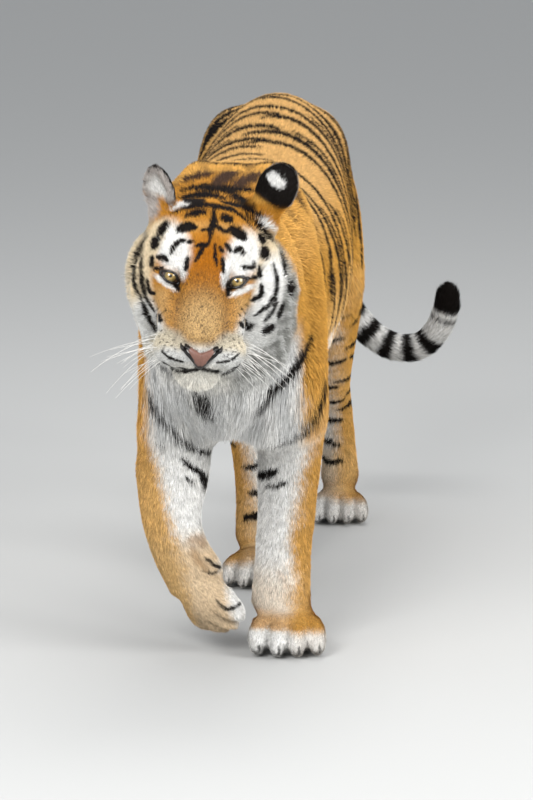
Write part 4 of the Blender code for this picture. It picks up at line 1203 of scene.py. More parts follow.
def head_colour(points, normals, jitter):
    """The colours of the face, the ruff and the crown."""
    side, forward, up = to_head(points).T
    across, rise = face_chart(points)
    across, rise = across * 100 + jitter[:, 0], rise * 100 + jitter[:, 1]
    seen = step(normals @ np.array(face_axes()[2]), 0.02, 0.20)
    base = plain(FACE_ORANGE, len(points))
    base = covered(base, patch(across, rise, (0.4, 1.4), (3.8, 6.0), 0, 0.6), DEEP_ORANGE)
    base = covered(base, patch(across, rise, (0.2, -7.6), (4.6, 6.4), 0, 0.75), TAN)
    base = covered(base, patch(across, rise, (0.2, -9.2), (4.2, 5.2), 0, 0.7) * 0.85, PALE_TAN)
    low_cheek = step(np.abs(across), 4.5, 7.5) * (1 - step(rise, -4.0, -1.5))
    base = covered(base, low_cheek * 0.6, PALE_TAN)
    edge = np.hypot(across / 10.8, (rise + 2.0) / 12.2)
    ring = step(edge, 0.80, 1.02)
    ragged = 0.012 * waves(forward, up, 0.05) + 0.04 * jitter[:, 0]
    behind = step(-forward + ragged, 0.150, 0.185) * step(up + ragged, -0.085, -0.02)
    base = covered(base, ring * 0.5 * (1 - step(rise, 9.0, 11.0)), PALE_ORANGE)
    base = covered(base, ring * (1 - step(up, 0.02, 0.07)) * 0.8, CREAM)
    base = covered(base, ring * (1 - step(up, -0.06, 0.02)), SOFT_WHITE)
    base = covered(base, step(-up, 0.105, 0.125) * (1 - step(forward, 0.05, 0.08)), SOFT_WHITE)
    # The outer ruff darkened in waves: partly its own grey with dark strands, partly painted shade.
    outer = step(edge, 1.06, 1.36) * (1 - step(up, 0.02, 0.08))
    base = covered(base, outer * (0.50 + 0.45 * step(waves(across, rise, 2.2), -0.4, 0.4)), RUFF_GREY_AND_SHADE)
    base = covered(base, behind, ORANGE)
    for paint, middle, sizes, turn in FACE_PATCHES.values():
        base = covered(base, patch(across, rise, middle, sizes, turn) * seen, paint)
    # Painted shade in the hollows beside the bridge of the nose.
    for half, path in GROOVES.values():
        base = covered(base, stroke(across, rise, half, path, soft=1.8) * 0.45 * (forward > 0), BROWN)
    speckled = patch(across, rise, (0.2, -5.5), (7.5, 8.0), 0, 0.3) * (1 - step(rise, -0.5, 3.0))
    base = covered(base, 0.80 * speckled * step(waves(across, rise * 0.6, 0.42), 0.15, 0.45), DARK_BROWN)
    dark = np.zeros(len(points))
    for half, path in FACE_STROKES.values():
        dark = np.maximum(dark, stroke(across, rise, half + FACE_SPREAD, path) * seen)
    for way, rows in WHISKER_SPOTS.items():
        for start, spots in rows:
            for place in range(spots):
                middle = (start[0] - way * 0.78 * place, start[1] - 0.52 * place)
                spot = patch(across, rise, middle, (0.20, 0.15), -30 * way, 0.3)
                dark = np.maximum(dark, 0.85 * spot * seen)
    for middle in CHEEK_FLECKS:
        fleck = patch(across, rise, middle, (0.42, 0.16), 35 if middle[0] < 0 else -35, 0.3)
        dark = np.maximum(dark, 0.9 * fleck * seen)
    dark = np.maximum(dark, lip_line(side, forward, up, 0.0026))
    dark = np.maximum(dark, lid_shadow(points))
    base = covered(base, dark, BLACK)
    away = (1 - seen) * (forward < 0.05) * (np.abs(side) > 0.05)
    for half, path in SIDE_STROKES:
        cover = stroke(-forward * 100 + jitter[:, 0], up * 100 + jitter[:, 1], half, path)
        base = covered(base, cover * away, BLACK)
    return base


def ear_colour(points, normals, jitter):
    """The ears: pale hair in the hollow, a dark rim and a black back with a white spot."""
    side = to_head(points)[:, 0]
    base = plain(ORANGE, len(points))
    for name in EARS:
        matrix = np.array(ear_frame(name))
        local = (points - matrix[:3, 3]) @ matrix[:3, :3] * 100 + jitter[:, [0, 0, 1]]
        facing = step(-(normals @ matrix[:3, 1]), -0.15, 0.15)
        width, _, height = (100 * size for size in EARS[name][1])
        rim = np.hypot(local[:, 0] / width, local[:, 2] / height)
        paint = plain(GREY, len(points))
        paint = covered(paint, 1 - step(rim, 0.40, 0.85), WHITE)
        dark_rim = step(rim, 0.88, 0.98) * step(local[:, 2], 0.0, 2.0) * (local[:, 0] > -1.5)
        paint = covered(paint, dark_rim, BLACK)
        back = plain(BLACK, len(points))
        back = covered(back, patch(local[:, 0], local[:, 2], *EAR_SPOTS[name], 0.15), WHITE)
        back = covered(back, 1 - step(local[:, 2], -2.9, -1.9), ORANGE)
        paint = back * (1 - facing[:, None]) + paint * facing[:, None]
        low = 1 - step(local[:, 2], -4.6, -3.2)
        paint = covered(paint, low * (step(local[:, 0], -0.5, 1.5) if name == "right" else 1), ORANGE)
        mine = (side > 0) == (name == "left")
        base = np.where(mine[:, None], paint, base)
    return base


def trunk_colour(points, jitter):
    """The neck's, trunk's and haunches' colours."""
    angle, back = trunk_angle(points), points[:, 1]
    size = np.abs(angle)
    base = plain(ORANGE, len(points))
    mottle = waves(angle / 3, back * 100, 14.0) * 9 + jitter[:, 0] * 40
    mottle -= 42 * step(back, 0.60, 0.78) + 46 * (1 - step(back, 0.12, 0.26))
    on_nape = (1 - step(back, 0.00, 0.12)) * (1 - step(size, 30, 60))
    # Painted sheen makes the top of the back paler, less so on the nape.
    base = covered(base, (1 - step(size, 30, 75)) * (0.75 - 0.55 * on_nape), BACK_SHEEN_ORANGE)
    blotches = step(waves(points[:, 0] * 1.3, points[:, 1] * 0.7 + 0.02 * jitter[:, 0], 0.085), 0.05, 0.55)
    base = covered(base, 0.60 * on_nape * (1 - step(size, 15, 38)) * blotches, DARK_BROWN)
    base = covered(base, (1 - step(back, 0.05, 0.25)) * step(size, 35, 70), SHOULDER_ORANGE)
    base = covered(base, step(size + mottle, 70, 118) * 0.7, PALE_ORANGE)
    base = covered(base, step(size + mottle, 114, 140), WHITE)
    out = np.abs(points[:, 0] - TRUNK_SHIFT)
    chest = (1 - step(points[:, 1], -0.13, 0.02)) * (1 - step(out, 0.125, 0.152)) * step(size, 75, 100)
    streaks = step(waves(points[:, 0], points[:, 2] * 0.3, 0.045), -0.6, 0.5)
    base = covered(base, chest, WHITE)
    base = covered(base, chest * (0.50 + 0.50 * streaks), SHADED_WHITE)
    round_it = np.radians(angle) * TRUNK_CHART_RADIUS + jitter[:, 0]
    behind = back * 100 + jitter[:, 1]
    dark = np.zeros(len(points))
    for half, path in body_strokes(SEED):
        dark = np.maximum(dark, stroke(round_it, behind, half + BODY_SPREAD, path, soft=0.25))
    base = covered(base, dark, BLACK)
    for level in NAPE_BANDS:
        path = [(-15, level + 3.0), (-6, level - 0.4), (5, level - 0.2), (15, level + 3.2)]
        cover = stroke(round_it + 4 * jitter[:, 1], behind + 6 * jitter[:, 0], 1.5, path, soft=1.2)
        base = covered(base, cover * (0.55 + 0.45 * blotches), DARK_BROWN)
    return base


def leg_colour(points, name, jitter):
    """One leg's colours down to its toes."""
    sections, side = LEGS[name]
    angle = leg_angle(points, sections, side)
    fore = name.startswith("fore")
    x, z = points[:, 0], points[:, 2]
    if fore:
        edge = np.interp(z, *(FORE_LEFT_EDGE if side > 0 else FORE_RIGHT_EDGE))
        blur = 0.05 * jitter[:, 0] + 0.006 * waves(x, z, 0.06)
        outer = step((x - edge) * side + blur, -0.016, 0.020)
    else:
        outer = 1 - step(np.abs(angle) + 60 * jitter[:, 0] + 10 * waves(x, z, 0.06), 60, 125)
    base = plain(WHITE, len(points))
    base = covered(base, outer, ORANGE)
    lifted = name == "fore_right"
    base = covered(base, outer * (1 - step(z, 0.28, 0.55)) * (0.75 if lifted else 0.25), PALE_ORANGE)
    if lifted:
        across = (0.966 * x + 0.256 * z) * 100 + 3 * jitter[:, 0]
        base = covered(base, (1 - step(z, 0.20, 0.27)) * 0.75, PALE_TAN)
        base = covered(base, (1 - step(z, 0.20, 0.26)) * step(across, 1.6, 3.4), WHITE)
    else:
        ankle = (1 - step(z, 0.11, 0.20)) * step(z, 0.050, 0.070)
        base = covered(base, ankle * (0.35 if fore else 0.6), PALE_ORANGE)
        knuckles = step(z + 0.02 * jitter[:, 1], 0.050, 0.060) * (1 - step(z, 0.068, 0.092))
        base = covered(base, knuckles * (0.75 if fore else 0.25), ORANGE)
        base = covered(base, (1 - step(z + 0.02 * jitter[:, 1], 0.040, 0.060)) * 0.9, WHITE)
    round_it = np.radians((angle + 150) % 360 - 150) * LEG_CHART_RADIUS + jitter[:, 0]
    height = z * 100 + jitter[:, 1]
    dark = np.zeros(len(points))
    strokes = FORE_BANDS if fore else HIND_BANDS
    for seed, levels, turns in strokes:
        for half, path in leg_strokes(seed + (side > 0), levels, turns):
            dark = np.maximum(dark, stroke(round_it, height, half + FACE_SPREAD, path, soft=0.25))
    base = covered(base, dark, BLACK)
    # Painted shade in the gaps between the toes, and the claws' slits, in black.
    return covered(base, toe_gap_shade_and_slits(points, name), BLACK)


def toe_gap_shade_and_slits(points, name):
    """Cover of painted shade in the gaps between a paw's toes, and of the claw's slit in each toe."""
    local = in_paw(points, *PAWS[list(LEGS).index(name)])
    front = step(-local[:, 1], 5.0, 6.5)
    cover = np.zeros(len(points))
    # Painted shade down the gaps between the toes.
    for gap in TOE_GAPS:
        height = 1 - step(local[:, 2], 3.6, 5.2)
        cover = np.maximum(cover, 0.6 * (1 - step(np.abs(local[:, 0] - gap), 0.05, 0.26)) * height * front)
    for middle in TOE_MIDDLES:
        slit = patch(local[:, 0], local[:, 2], (middle + 0.35, 2.0), (0.22, 0.95), 0, 0.3)
        cover = np.maximum(cover, 0.85 * slit * step(-local[:, 1], 7.0, 8.0))
    return cover


def tail_colour(points, jitter):
    """Black rings on a pale tail, orange near its root, and a black tip."""
    share = tail_chart(points)[0] + 0.0025 * jitter[:, 0]
    base = plain(WHITE, len(points))
    base = covered(base, 1 - step(share, 0.15, 0.45), ORANGE)
    dark = np.zeros(len(points))
    for start, end in TAIL_RINGS:
        begun = step(share, start - RING_BLUR, start + RING_BLUR)
        dark = np.maximum(dark, begun * (1 - step(share, end - RING_BLUR, end + RING_BLUR)))
    return covered(base, dark, BLACK)


def coat_colour(points, normals, shares, jitter):
    """The markings at each point. jitter frays their edges, in centimetres both ways."""
    head = sum(shares[name] for name in ("muzzle", "face", "crown", "cheek", "ruff", "chin"))
    trunk = shares["back"] + shares["haunch"] + shares["belly"] + shares["neck"] + shares["throat"]
    parts = [(head, head_colour, (normals,)), (trunk, trunk_colour, ())]
    parts += [(shares["ear"], ear_colour, (normals,)), (shares["tail"], tail_colour, ())]
    for name in LEGS:
        parts.append((shares["leg_" + name] + shares["foot_" + name], leg_colour, (name,)))
    colour = np.zeros((len(points), 3))
    total = np.zeros(len(points))
    for share, paint, extra in parts:
        mine = share > 0.01
        if mine.any():
            some = [value[mine] if isinstance(value, np.ndarray) else value for value in extra]
            colour[mine] += share[mine, None] * paint(points[mine], *some, jitter[mine])
        total += share
    colour /= np.maximum(total, 1e-6)[:, None]
    body = 1 - np.clip(head - shares["ruff"] + shares["ear"] + shares["tail"], 0, 1)
    front = body * (points[:, 1] < 0.06) * step(-normals[:, 1], 0.02, 0.22)
    x, z = points[:, 0] * 100 + jitter[:, 0], points[:, 2] * 100 + jitter[:, 1]
    for half, path in FRONT_STROKES.values():
        colour = covered(colour, stroke(x, z, half + FRONT_SPREAD, path, soft=0.3) * front, BLACK)
    for half, path in BROWN_STROKES.values():
        faint = stroke(x, z, half + FRONT_SPREAD, path, soft=1.4) * front * 0.6
        colour = covered(colour, faint, WRIST_BROWN)
    across, rise = face_chart(points)
    on_top = (points[:, 1] < -0.03) * step(points[:, 2], 0.855, 0.875) * (1 - shares["ear"])
    glow = patch(across * 100, rise * 100, (1.5, 16.5), (9.5, 4.6), 0, 0.5) * step(rise, 0.136, 0.144)
    colour = covered(colour, glow * on_top * 0.85, FACE_ORANGE)
    x, z = across * 100 + jitter[:, 0], rise * 100 + jitter[:, 1]
    for half, path, soft in CROWN_STROKES:
        cover = stroke(x, z, half + CROWN_SPREAD, path, soft=soft)
        colour = covered(colour, cover * on_top, DARK_BROWN if soft > 0.5 else BLACK)
    return colour


# ---- Meshes ----------------------------------------------------------------------------------
def mesh_of(name, points, faces, collection, colours=None):
    """A mesh object from arrays of points, of faces of one size, and of colours at the points."""
    mesh = bpy.data.meshes.new(name)
    corners = faces.shape[1]
    mesh.vertices.add(len(points))
    mesh.vertices.foreach_set("co", points.astype(np.float32).ravel())
    mesh.loops.add(faces.size)
    mesh.loops.foreach_set("vertex_index", faces.astype(np.int32).ravel())
    mesh.polygons.add(len(faces))
    mesh.polygons.foreach_set("loop_start", np.arange(0, faces.size, corners, dtype=np.int32))
    mesh.polygons.foreach_set("use_smooth", np.full(len(faces), True))
    mesh.update()
    mesh.validate()
    if colours is not None:
        paint = mesh.attributes.new("coat", "FLOAT_COLOR", "POINT")
        rgba = np.concatenate([colours, np.ones((len(colours), 1))], axis=1)
        paint.data.foreach_set("color", rgba.astype(np.float32).ravel())
    made = bpy.data.objects.new(name, mesh)
    collection.objects.link(made)
    return made


def triangles_of(mesh):
    """The mesh's triangles, as rows of three point numbers."""
    mesh.calc_loop_triangles()
    found = np.empty(len(mesh.loop_triangles) * 3, np.int32)
    mesh.loop_triangles.foreach_get("vertices", found)
    return found.reshape(-1, 3)


def unwrapped(points, faces, collection):
    """An unwrap of a piece of the skin: three map points for each of its triangles."""
    used, index = np.unique(faces, return_inverse=True)
    patch_object = mesh_of("unwrap", points[used], index.reshape(-1, 3), collection)
    bpy.context.view_layer.objects.active = patch_object
    patch_object.select_set(True)
    bpy.ops.object.mode_set(mode="EDIT")
    bpy.ops.mesh.select_all(action="SELECT")
    bpy.ops.uv.smart_project(angle_limit=math.radians(66), island_margin=0.003)
    bpy.ops.object.mode_set(mode="OBJECT")
    layer = patch_object.data.uv_layers.active
    found = np.empty(len(layer.data) * 2, np.float32)
    layer.data.foreach_get("uv", found)
    bpy.data.objects.remove(patch_object)
    return found.reshape(-1, 3, 2).astype(np.float64)


def add_map(obj, faces, places):
    """Gives the object its map for baking, from each point's place on it."""
    layer = obj.data.uv_layers.new(name="OFBake")
    layer.data.foreach_set("uv", places[faces.ravel()].astype(np.float32).ravel())


def scattered(points, faces, density, draw):
    """Random places on triangles: the triangle of each, and the weights of its three corners."""
    corners = points[faces]
    edges = corners[:, 1:] - corners[:, :1]
    area = np.linalg.norm(np.cross(edges[:, 0], edges[:, 1]), axis=1) / 2
    wanted = area * density * 1e4  # square centimetres in a square metre
    count = int(wanted.sum())
    levels = (np.arange(count) + draw.random(count)) / count * wanted.sum()
    picked = np.minimum(np.searchsorted(np.cumsum(wanted), levels), len(faces) - 1)
    first, second = draw.random(count), draw.random(count)
    flip = first + second > 1
    first[flip], second[flip] = 1 - first[flip], 1 - second[flip]
    return picked, np.stack([1 - first - second, first, second], axis=1)


def hairs(tufts, place_in_tuft, bent, draw):
    """The corners of one tapered hair of each tuft, and their colours."""
    root, outward, lie, across, length, depth, width, sag, clump, tone = tufts
    count = len(root)
    turn = draw.normal(0, FAN_TURN, count) + (place_in_tuft - (HAIRS_IN_TUFT - 1) / 2) * FAN_STEP
    turn += CLUMP_TURN * clump
    way = lie * np.cos(turn)[:, None] + across * np.sin(turn)[:, None]
    long = length * draw.uniform(*LENGTH_RANGE, count)
    rise = np.clip(depth / long * draw.uniform(*RISE_RANGE, count), 0.02, 0.8)
    spread = width * draw.uniform(-TUFT_SPREAD, TUFT_SPREAD, count)
    root = root + across * spread[:, None] - outward * ROOT_DEPTH
    twist = draw.normal(0, HAIR_TWIST, count)
    flat = np.cross(outward, way)
    sideways = unit(flat * np.cos(twist)[:, None] + outward * np.sin(twist)[:, None])
    half = sideways * (width * draw.uniform(*WIDTH_RANGE, count) / 2)[:, None]
    tip = root + way * (long * np.sqrt(1 - rise**2))[:, None] + outward * (long * rise)[:, None]
    tone = tone * (draw.normal(1.0, SHADE_SPREAD, count) + CLUMP_SHADE * clump)[:, None]
    # Painted shade darkens each hair's root and painted light brightens its tip.
    corners, tones = [root - half, root + half], [tone * ROOT_PAINTED_SHADE] * 2
    if bent:
        lift = np.minimum(rise * 1.5, 0.9)
        middle = root + way * (0.5 * long * np.sqrt(1 - lift**2))[:, None]
        middle += outward * (0.5 * long * lift)[:, None]
        tip[:, 2] -= sag * long
        corners += [middle - half * 0.8, middle + half * 0.8]
        tones += [tone, tone]
    corners = np.stack([*corners, tip], axis=1)
    corners[..., 2] = np.maximum(corners[..., 2], FLOOR)
    return corners, np.stack([*tones, tone * TIP_PAINTED_LIGHT], axis=1)


def locks(name, skin, faces, draw, collection):
    """One piece of the coat: tufts of tapered hairs rooted on these triangles of the skin."""
    points, normals, shares = skin
    density = hair_of({key: share[faces].mean(axis=1) for key, share in shares.items()})[3]
    picked, weights = scattered(points, faces, density, draw)
    at = faces[picked]

    def blended(values):
        return (values[at] * weights[..., None]).sum(axis=1)

    roots, outward = blended(points), unit(blended(normals))
    here = {key: (share[at] * weights).sum(axis=1) for key, share in shares.items()}
    length, depth, width, _ = hair_of(here)
    lie = flow(roots, outward, here)
    across = np.cross(outward, lie)
    fray = draw.normal(0, FRAY, (len(at), 2))
    is_long = length + draw.normal(0, 0.003, len(at)) > LONG_HAIR
    tone = coat_colour(roots + lie * (length * SHOWN)[:, None], outward, here, fray)
    sag = sum(here[key] * share for key, share in DROOP.items()) * (1 - np.maximum(outward[:, 2], 0))
    clump = waves(roots[:, 0] + 0.4 * roots[:, 2], roots[:, 1] + roots[:, 2], CLUMP)
    clump += waves(roots[:, 0] - roots[:, 2], roots[:, 1] + 0.3 * roots[:, 2], CLUMP / 3)
    map_roots = (unwrapped(points, faces, collection)[picked] * weights[..., None]).sum(axis=1)
    tufts = (roots, outward, lie, across, length, depth, width, sag, clump, tone)
    all_points, all_faces, all_colours, all_places = [], [], [], []
    made = 0
    for members, (triangles, corner_places) in ((~is_long, STRAIGHT_HAIR), (is_long, BENT_HAIR)):
        if not members.any():
            continue
        bent = len(triangles) > 1
        places = np.clip(map_roots[members], 0.002, 0.998)[:, None]
        places = places + np.array(corner_places) * MAP_PATCH / 2
        for place_in_tuft in range(HAIRS_IN_TUFT):
            corners, tones = hairs([values[members] for values in tufts], place_in_tuft, bent, draw)
            count, per = corners.shape[:2]
            firsts = made + np.arange(count)[:, None, None] * per
            made += count * per
            all_points.append(corners.reshape(-1, 3))
            all_faces.append((firsts + np.array(triangles)).reshape(-1, 3))
            all_colours.append(tones.reshape(-1, 3))
            all_places.append(places.reshape(-1, 2))
    colours = np.clip(np.concatenate(all_colours), 0, 1)
    coat = mesh_of(name, np.concatenate(all_points), np.concatenate(all_faces), collection, colours)
    add_map(coat, np.concatenate(all_faces), np.concatenate(all_places))
    return coat


# ---- Eyes, nose and whiskers -----------------------------------------------------------------
def lip_line(side, forward, up, width):
    """Cover, 1 where the lips meet, on points in the head's frame."""
    turn = np.degrees(np.arctan2(np.abs(side), forward - LIP_PIVOT))
    level = np.interp(turn, *LIP_CURVE)
    near = (forward > 0.0) & (up < -0.08)
    return np.exp(-(((up - level) / width) ** 2)) * (1 - step(turn, 92, 108)) * near


def sculpted(points, normals):
    """The skin with the lips' line, the split under the nose, the bridge's sides and the toes cut in."""
    side, forward, up = to_head(points).T
    across, rise = face_chart(points)
    depth = LIP_DEPTH * lip_line(side, forward, up, 0.0040)
    split = np.exp(-((side / 0.0028) ** 2)) * step(-up, 0.104, 0.110) * (1 - step(-up, 0.122, 0.128))
    depth += SPLIT_DEPTH * split * (forward > 0.10)
    for half, path in GROOVES.values():
        depth += GROOVE_DEPTH * stroke(across * 100, rise * 100, half, path, soft=3.0) * (forward > 0)
    beside = np.abs(side) - nose_half(np.clip(up - NOSE_PLACE[2], NOSE_WEDGE[-1][0], NOSE_WEDGE[0][0]))
    level = (up - NOSE_PLACE[2] > -0.030) & (up - NOSE_PLACE[2] < nose_top(side))
    depth += BESIDE_DEPTH * (1 - step(beside, 0.0005, 0.0060)) * level * (forward > 0.11)
    for sink, half, path in SIDE_GROOVES:
        deep = stroke(points[:, 1] * 100, points[:, 2] * 100, half, path, soft=6.5)
        depth += sink * deep * step(np.abs(points[:, 0]), 0.07, 0.12) * step(np.abs(normals[:, 0]), 0.2, 0.5)
    for standing in PAWS:
        local = in_paw(points, *standing)
        near = step(-local[:, 1], 3.0, 6.0) * (local[:, 1] > -13)
        near *= (local[:, 2] < 8) * (np.abs(local[:, 0]) < 8)
        for gap in TOE_GAPS:
            depth += TOE_DEPTH * np.exp(-(((local[:, 0] - gap) / 0.55) ** 2)) * near * (local[:, 2] > -1)
    return points - normals * depth[:, None]


def face_axes():
    """The face plane's directions in the design frame: sideways, up and out of the face."""
    turn, tilt = math.radians(FACE_TURN), math.radians(FACE_TILT)
    ahead = Vector((-math.sin(turn), -math.cos(turn), 0))
    side = Vector((math.cos(turn), -math.sin(turn), 0))
    turned = head_frame().to_3x3()
    out = ahead * math.cos(tilt) + UP * math.sin(tilt)
    rise = UP * math.cos(tilt) - ahead * math.sin(tilt)
    return [(turned @ way).normalized() for way in (side, rise, out)]


def eye_frame(side):
    """A frame at the middle of one eyeball: x outwards, y up, z along its gaze."""
    across, rise, out = face_axes()
    middle = head_frame() @ in_head(EYE_CENTRE[0] * side, *EYE_CENTRE[1:])
    turn = Matrix((across * side, rise, out)).transposed().to_4x4()
    return Matrix.Translation(middle) @ turn


def lid_outline():
    """The eye's opening as a smooth closed line of points, outwards and up from its middle."""
    path = [*LID_POINTS[-2:], *LID_POINTS, *LID_POINTS[:2]]
    return np.array(spline(path, 6))[12 : 12 + 6 * len(LID_POINTS)]


def inside_outline(x, y, outline):
    """Distance to the outline, negative inside it."""
    following = np.roll(outline, -1, axis=0)
    gap = np.full(len(x), 1e9)
    inside = np.zeros(len(x), bool)
    for a, b in zip(outline, following):
        way = b - a
        t = np.clip(((x - a[0]) * way[0] + (y - a[1]) * way[1]) / (way @ way), 0, 1)
        gap = np.minimum(gap, np.hypot(x - a[0] - t * way[0], y - a[1] - t * way[1]))
        crosses = (a[1] > y) != (b[1] > y)
        if abs(way[1]) > 1e-12:
            inside ^= crosses & (x < a[0] + (y - a[1]) / way[1] * way[0])
    return np.where(inside, -gap, gap)


def with_lids(points):
    """The skin drawn in round each eye, to lids that lie on the eyeball."""
    outline = lid_outline()
    for side in (-1, 1):
        local = within(points, eye_frame(side))
        near = (np.hypot(local[:, 0], local[:, 1]) < 0.045) & (local[:, 2] > -0.01)
        x, y, z = local[near].T
        gap = inside_outline(x, y, outline)
        ball = np.sqrt(np.maximum((EYE_RADIUS + LID_THICKNESS) ** 2 - x * x - y * y, 0.006**2))
        lid = ball + 0.25 * np.maximum(gap, 0)
        share = 1 - step(gap, 0.0015, LID_REACH)
        new = lid * share + z * (1 - share)
        new = np.where(gap < -0.0005, ball - LID_THICKNESS - 0.005, new)
        local[near, 2] = new
        points = points.copy()
        points[near] = taken(local[near], eye_frame(side))
    return points


def lid_shadow(points):
    """Cover, 1 on the dark skin that edges both eyes."""
    cover = np.zeros(len(points))
    for side in (-1, 1):
        x, y, z = within(points, eye_frame(side)).T
        near = (np.hypot(x, y) < 0.035) & (z > 0)
        gap = inside_outline(x[near], y[near], lid_outline())
        cover[near] = 1 - step(gap, 0.0022, 0.0042)
    return cover


def eyeball(side, collection):
    """An eyeball with its clear bulge, as rings about its gaze."""
    rings, corners = 28, 40
    rows, faces = [], []
    for ring in range(rings + 1):
        angle = math.pi * ring / rings
        out, ahead = EYE_RADIUS * math.sin(angle), EYE_RADIUS * math.cos(angle)
        if ahead > 0 and out < IRIS_RADIUS:
            ahead += CORNEA_RISE * (1 - (out / IRIS_RADIUS) ** 2)
        for k in range(corners):
            turn = 2 * math.pi * k / corners
            rows.append((out * math.cos(turn), out * math.sin(turn), ahead))
    for ring in range(rings):
        for k in range(corners):
            n = (k + 1) % corners
            a, b = ring * corners + k, ring * corners + n
            faces.append((a, a + corners, b + corners, b))
    local = np.array(rows)
    share = np.hypot(local[:, 0], local[:, 1]) / IRIS_RADIUS
    turn = np.arctan2(local[:, 1], local[:, 0])
    colour = plain(EYE_WHITE, len(local))
    front = local[:, 2] > 0
    rays = 0.5 + 0.5 * np.sin(turn * 23 + 4 * np.sin(turn * 5))
    iris = covered(plain(IRIS_INNER, len(local)), step(share, 0.35, 0.85), IRIS_OUTER)
    iris *= (0.85 + 0.25 * rays)[:, None]
    iris = covered(iris, step(share, 0.80, 0.98), BLACK)
    colour = np.where((front & (share < 1.0))[:, None], iris, colour)
    pupil = front * (1 - step(share, PUPIL_SHARE - 0.04, PUPIL_SHARE + 0.04))
    colour = covered(colour, pupil, PUPIL_BLACK)
    if side < 0:
        faces = [face[::-1] for face in faces]
    name = "eyeball_" + ("left" if side > 0 else "right")
    return mesh_of(name, taken(local, eye_frame(side)), np.array(faces), collection, colour)


def tube(form_points, form_faces, path, radii, corners=6):
    """Adds a tapered tube along a path of points to growing lists of points and faces."""
    path = np.array(path, float)
    ways = unit(np.gradient(path, axis=0))
    normal = np.cross(ways[0], (0.3, 0.5, 0.8))
    start = sum(len(block) for block in form_points)
    rings = []
    for point, way, radius in zip(path, ways, radii):
        normal = normal - way * (normal @ way)
        normal /= np.linalg.norm(normal)
        other = np.cross(way, normal)
        turns = 2 * math.pi * np.arange(corners) / corners
        rings.append(point + radius * (np.outer(np.cos(turns), normal) + np.outer(np.sin(turns), other)))
    form_points.append(np.concatenate(rings))
    for ring in range(len(path) - 1):
        for k in range(corners):
            n = (k + 1) % corners
            a, b = start + ring * corners + k, start + ring * corners + n
            form_faces.append((a, b, b + corners, a + corners))


def lid_rims(collection):
    """The black edges of the lids, one closed roll round each eye."""
    points, faces = [], []
    outline = lid_outline()
    closed = np.concatenate([outline, outline[:2]])
    for side in (-1, 1):
        reach = (EYE_RADIUS + 0.0004) ** 2 - (closed**2).sum(axis=1)
        rim = np.column_stack([closed, np.sqrt(np.maximum(reach, 0.007**2))])
        tube(points, faces, taken(rim, eye_frame(side)), [RIM_RADIUS] * len(rim), corners=8)
    points = np.concatenate(points)
    return mesh_of("lid_rims", points, np.array(faces), collection, plain(BLACK, len(points)))


def nose_half(rise):
    """The nose's half width at heights above its middle, negative above and below it."""
    rises, halves = [[row[k] for row in NOSE_WEDGE[::-1]] for k in (0, 2)]
    return np.interp(rise, rises, halves, left=-1, right=-1)


def nose_top(side):
    """The height of the leather's upper edge above its middle, lowest at the midline."""
    return NOSE_TOP - NOSE_DIP * np.clip(1 - np.abs(side) / 0.024, 0, 1)


def nose_leather(collection):
    """The nose: a wedge that narrows to the lips, with a wing on each side and two nostrils."""
    turned = head_frame() @ Matrix.Translation(in_head(*NOSE_PLACE))
    turned = turned @ Matrix.Rotation(math.radians(NOSE_LEAN), 4, "X")
    form = bmesh.new()
    rows = [(0, -ahead, rise, half, front, back) for rise, ahead, half, front, back in NOSE_WEDGE]
    loft(form, rows, FORWARD, turned, corners=32)
    (x, ahead, rise), radii = NOSE_WING
    for side in (-1, 1):
        ellipsoid(form, (x * side, -ahead, rise), radii, turned, rings=16)
    nose = add_object("nose_form", form, collection)
    remesh = nose.modifiers.new("merge", "REMESH")
    remesh.mode = "VOXEL"
    remesh.voxel_size = NOSE_VOXEL
    soften = nose.modifiers.new("soften", "SMOOTH")
    soften.factor, soften.iterations = 0.5, 8
    nose = evaluated(nose, "nose_form", collection)
    points, normals, faces = points_of(nose.data), normals_of(nose.data), triangles_of(nose.data)
    bpy.data.objects.remove(nose)
    x, y, z = within(points, turned).T
    front = y < 0.004
    slit = stroke(np.abs(x) * 100, z * 100, 0.34, NOSTRIL_PATH, soft=0.35) * front
    groove = np.exp(-((x / 0.0014) ** 2)) * (z < 0.004) * front
    sunk = points - normals * (0.0075 * slit + 0.0015 * groove)[:, None]
    under_fur = step(z - nose_top(x), -0.0040, 0.0010) * 0.012
    sunk += under_fur[:, None] * np.array(turned.to_3x3() @ Vector((0, 1, 0)))
    half = nose_half(np.clip(z, NOSE_WEDGE[-1][0], NOSE_WEDGE[0][0]))
    edge = step(np.abs(x) - half, -0.0100, -0.0060) * (1 - step(z, 0.004, 0.010) * (np.abs(x) < 0.020))
    dark = np.maximum.reduce([slit, edge, 1 - step(z, -0.021, -0.017)])
    colour = covered(plain(NOSE_PINK, len(sunk)), dark, BLACK)
    return mesh_of("nose_leather", sunk, faces, collection, colour)


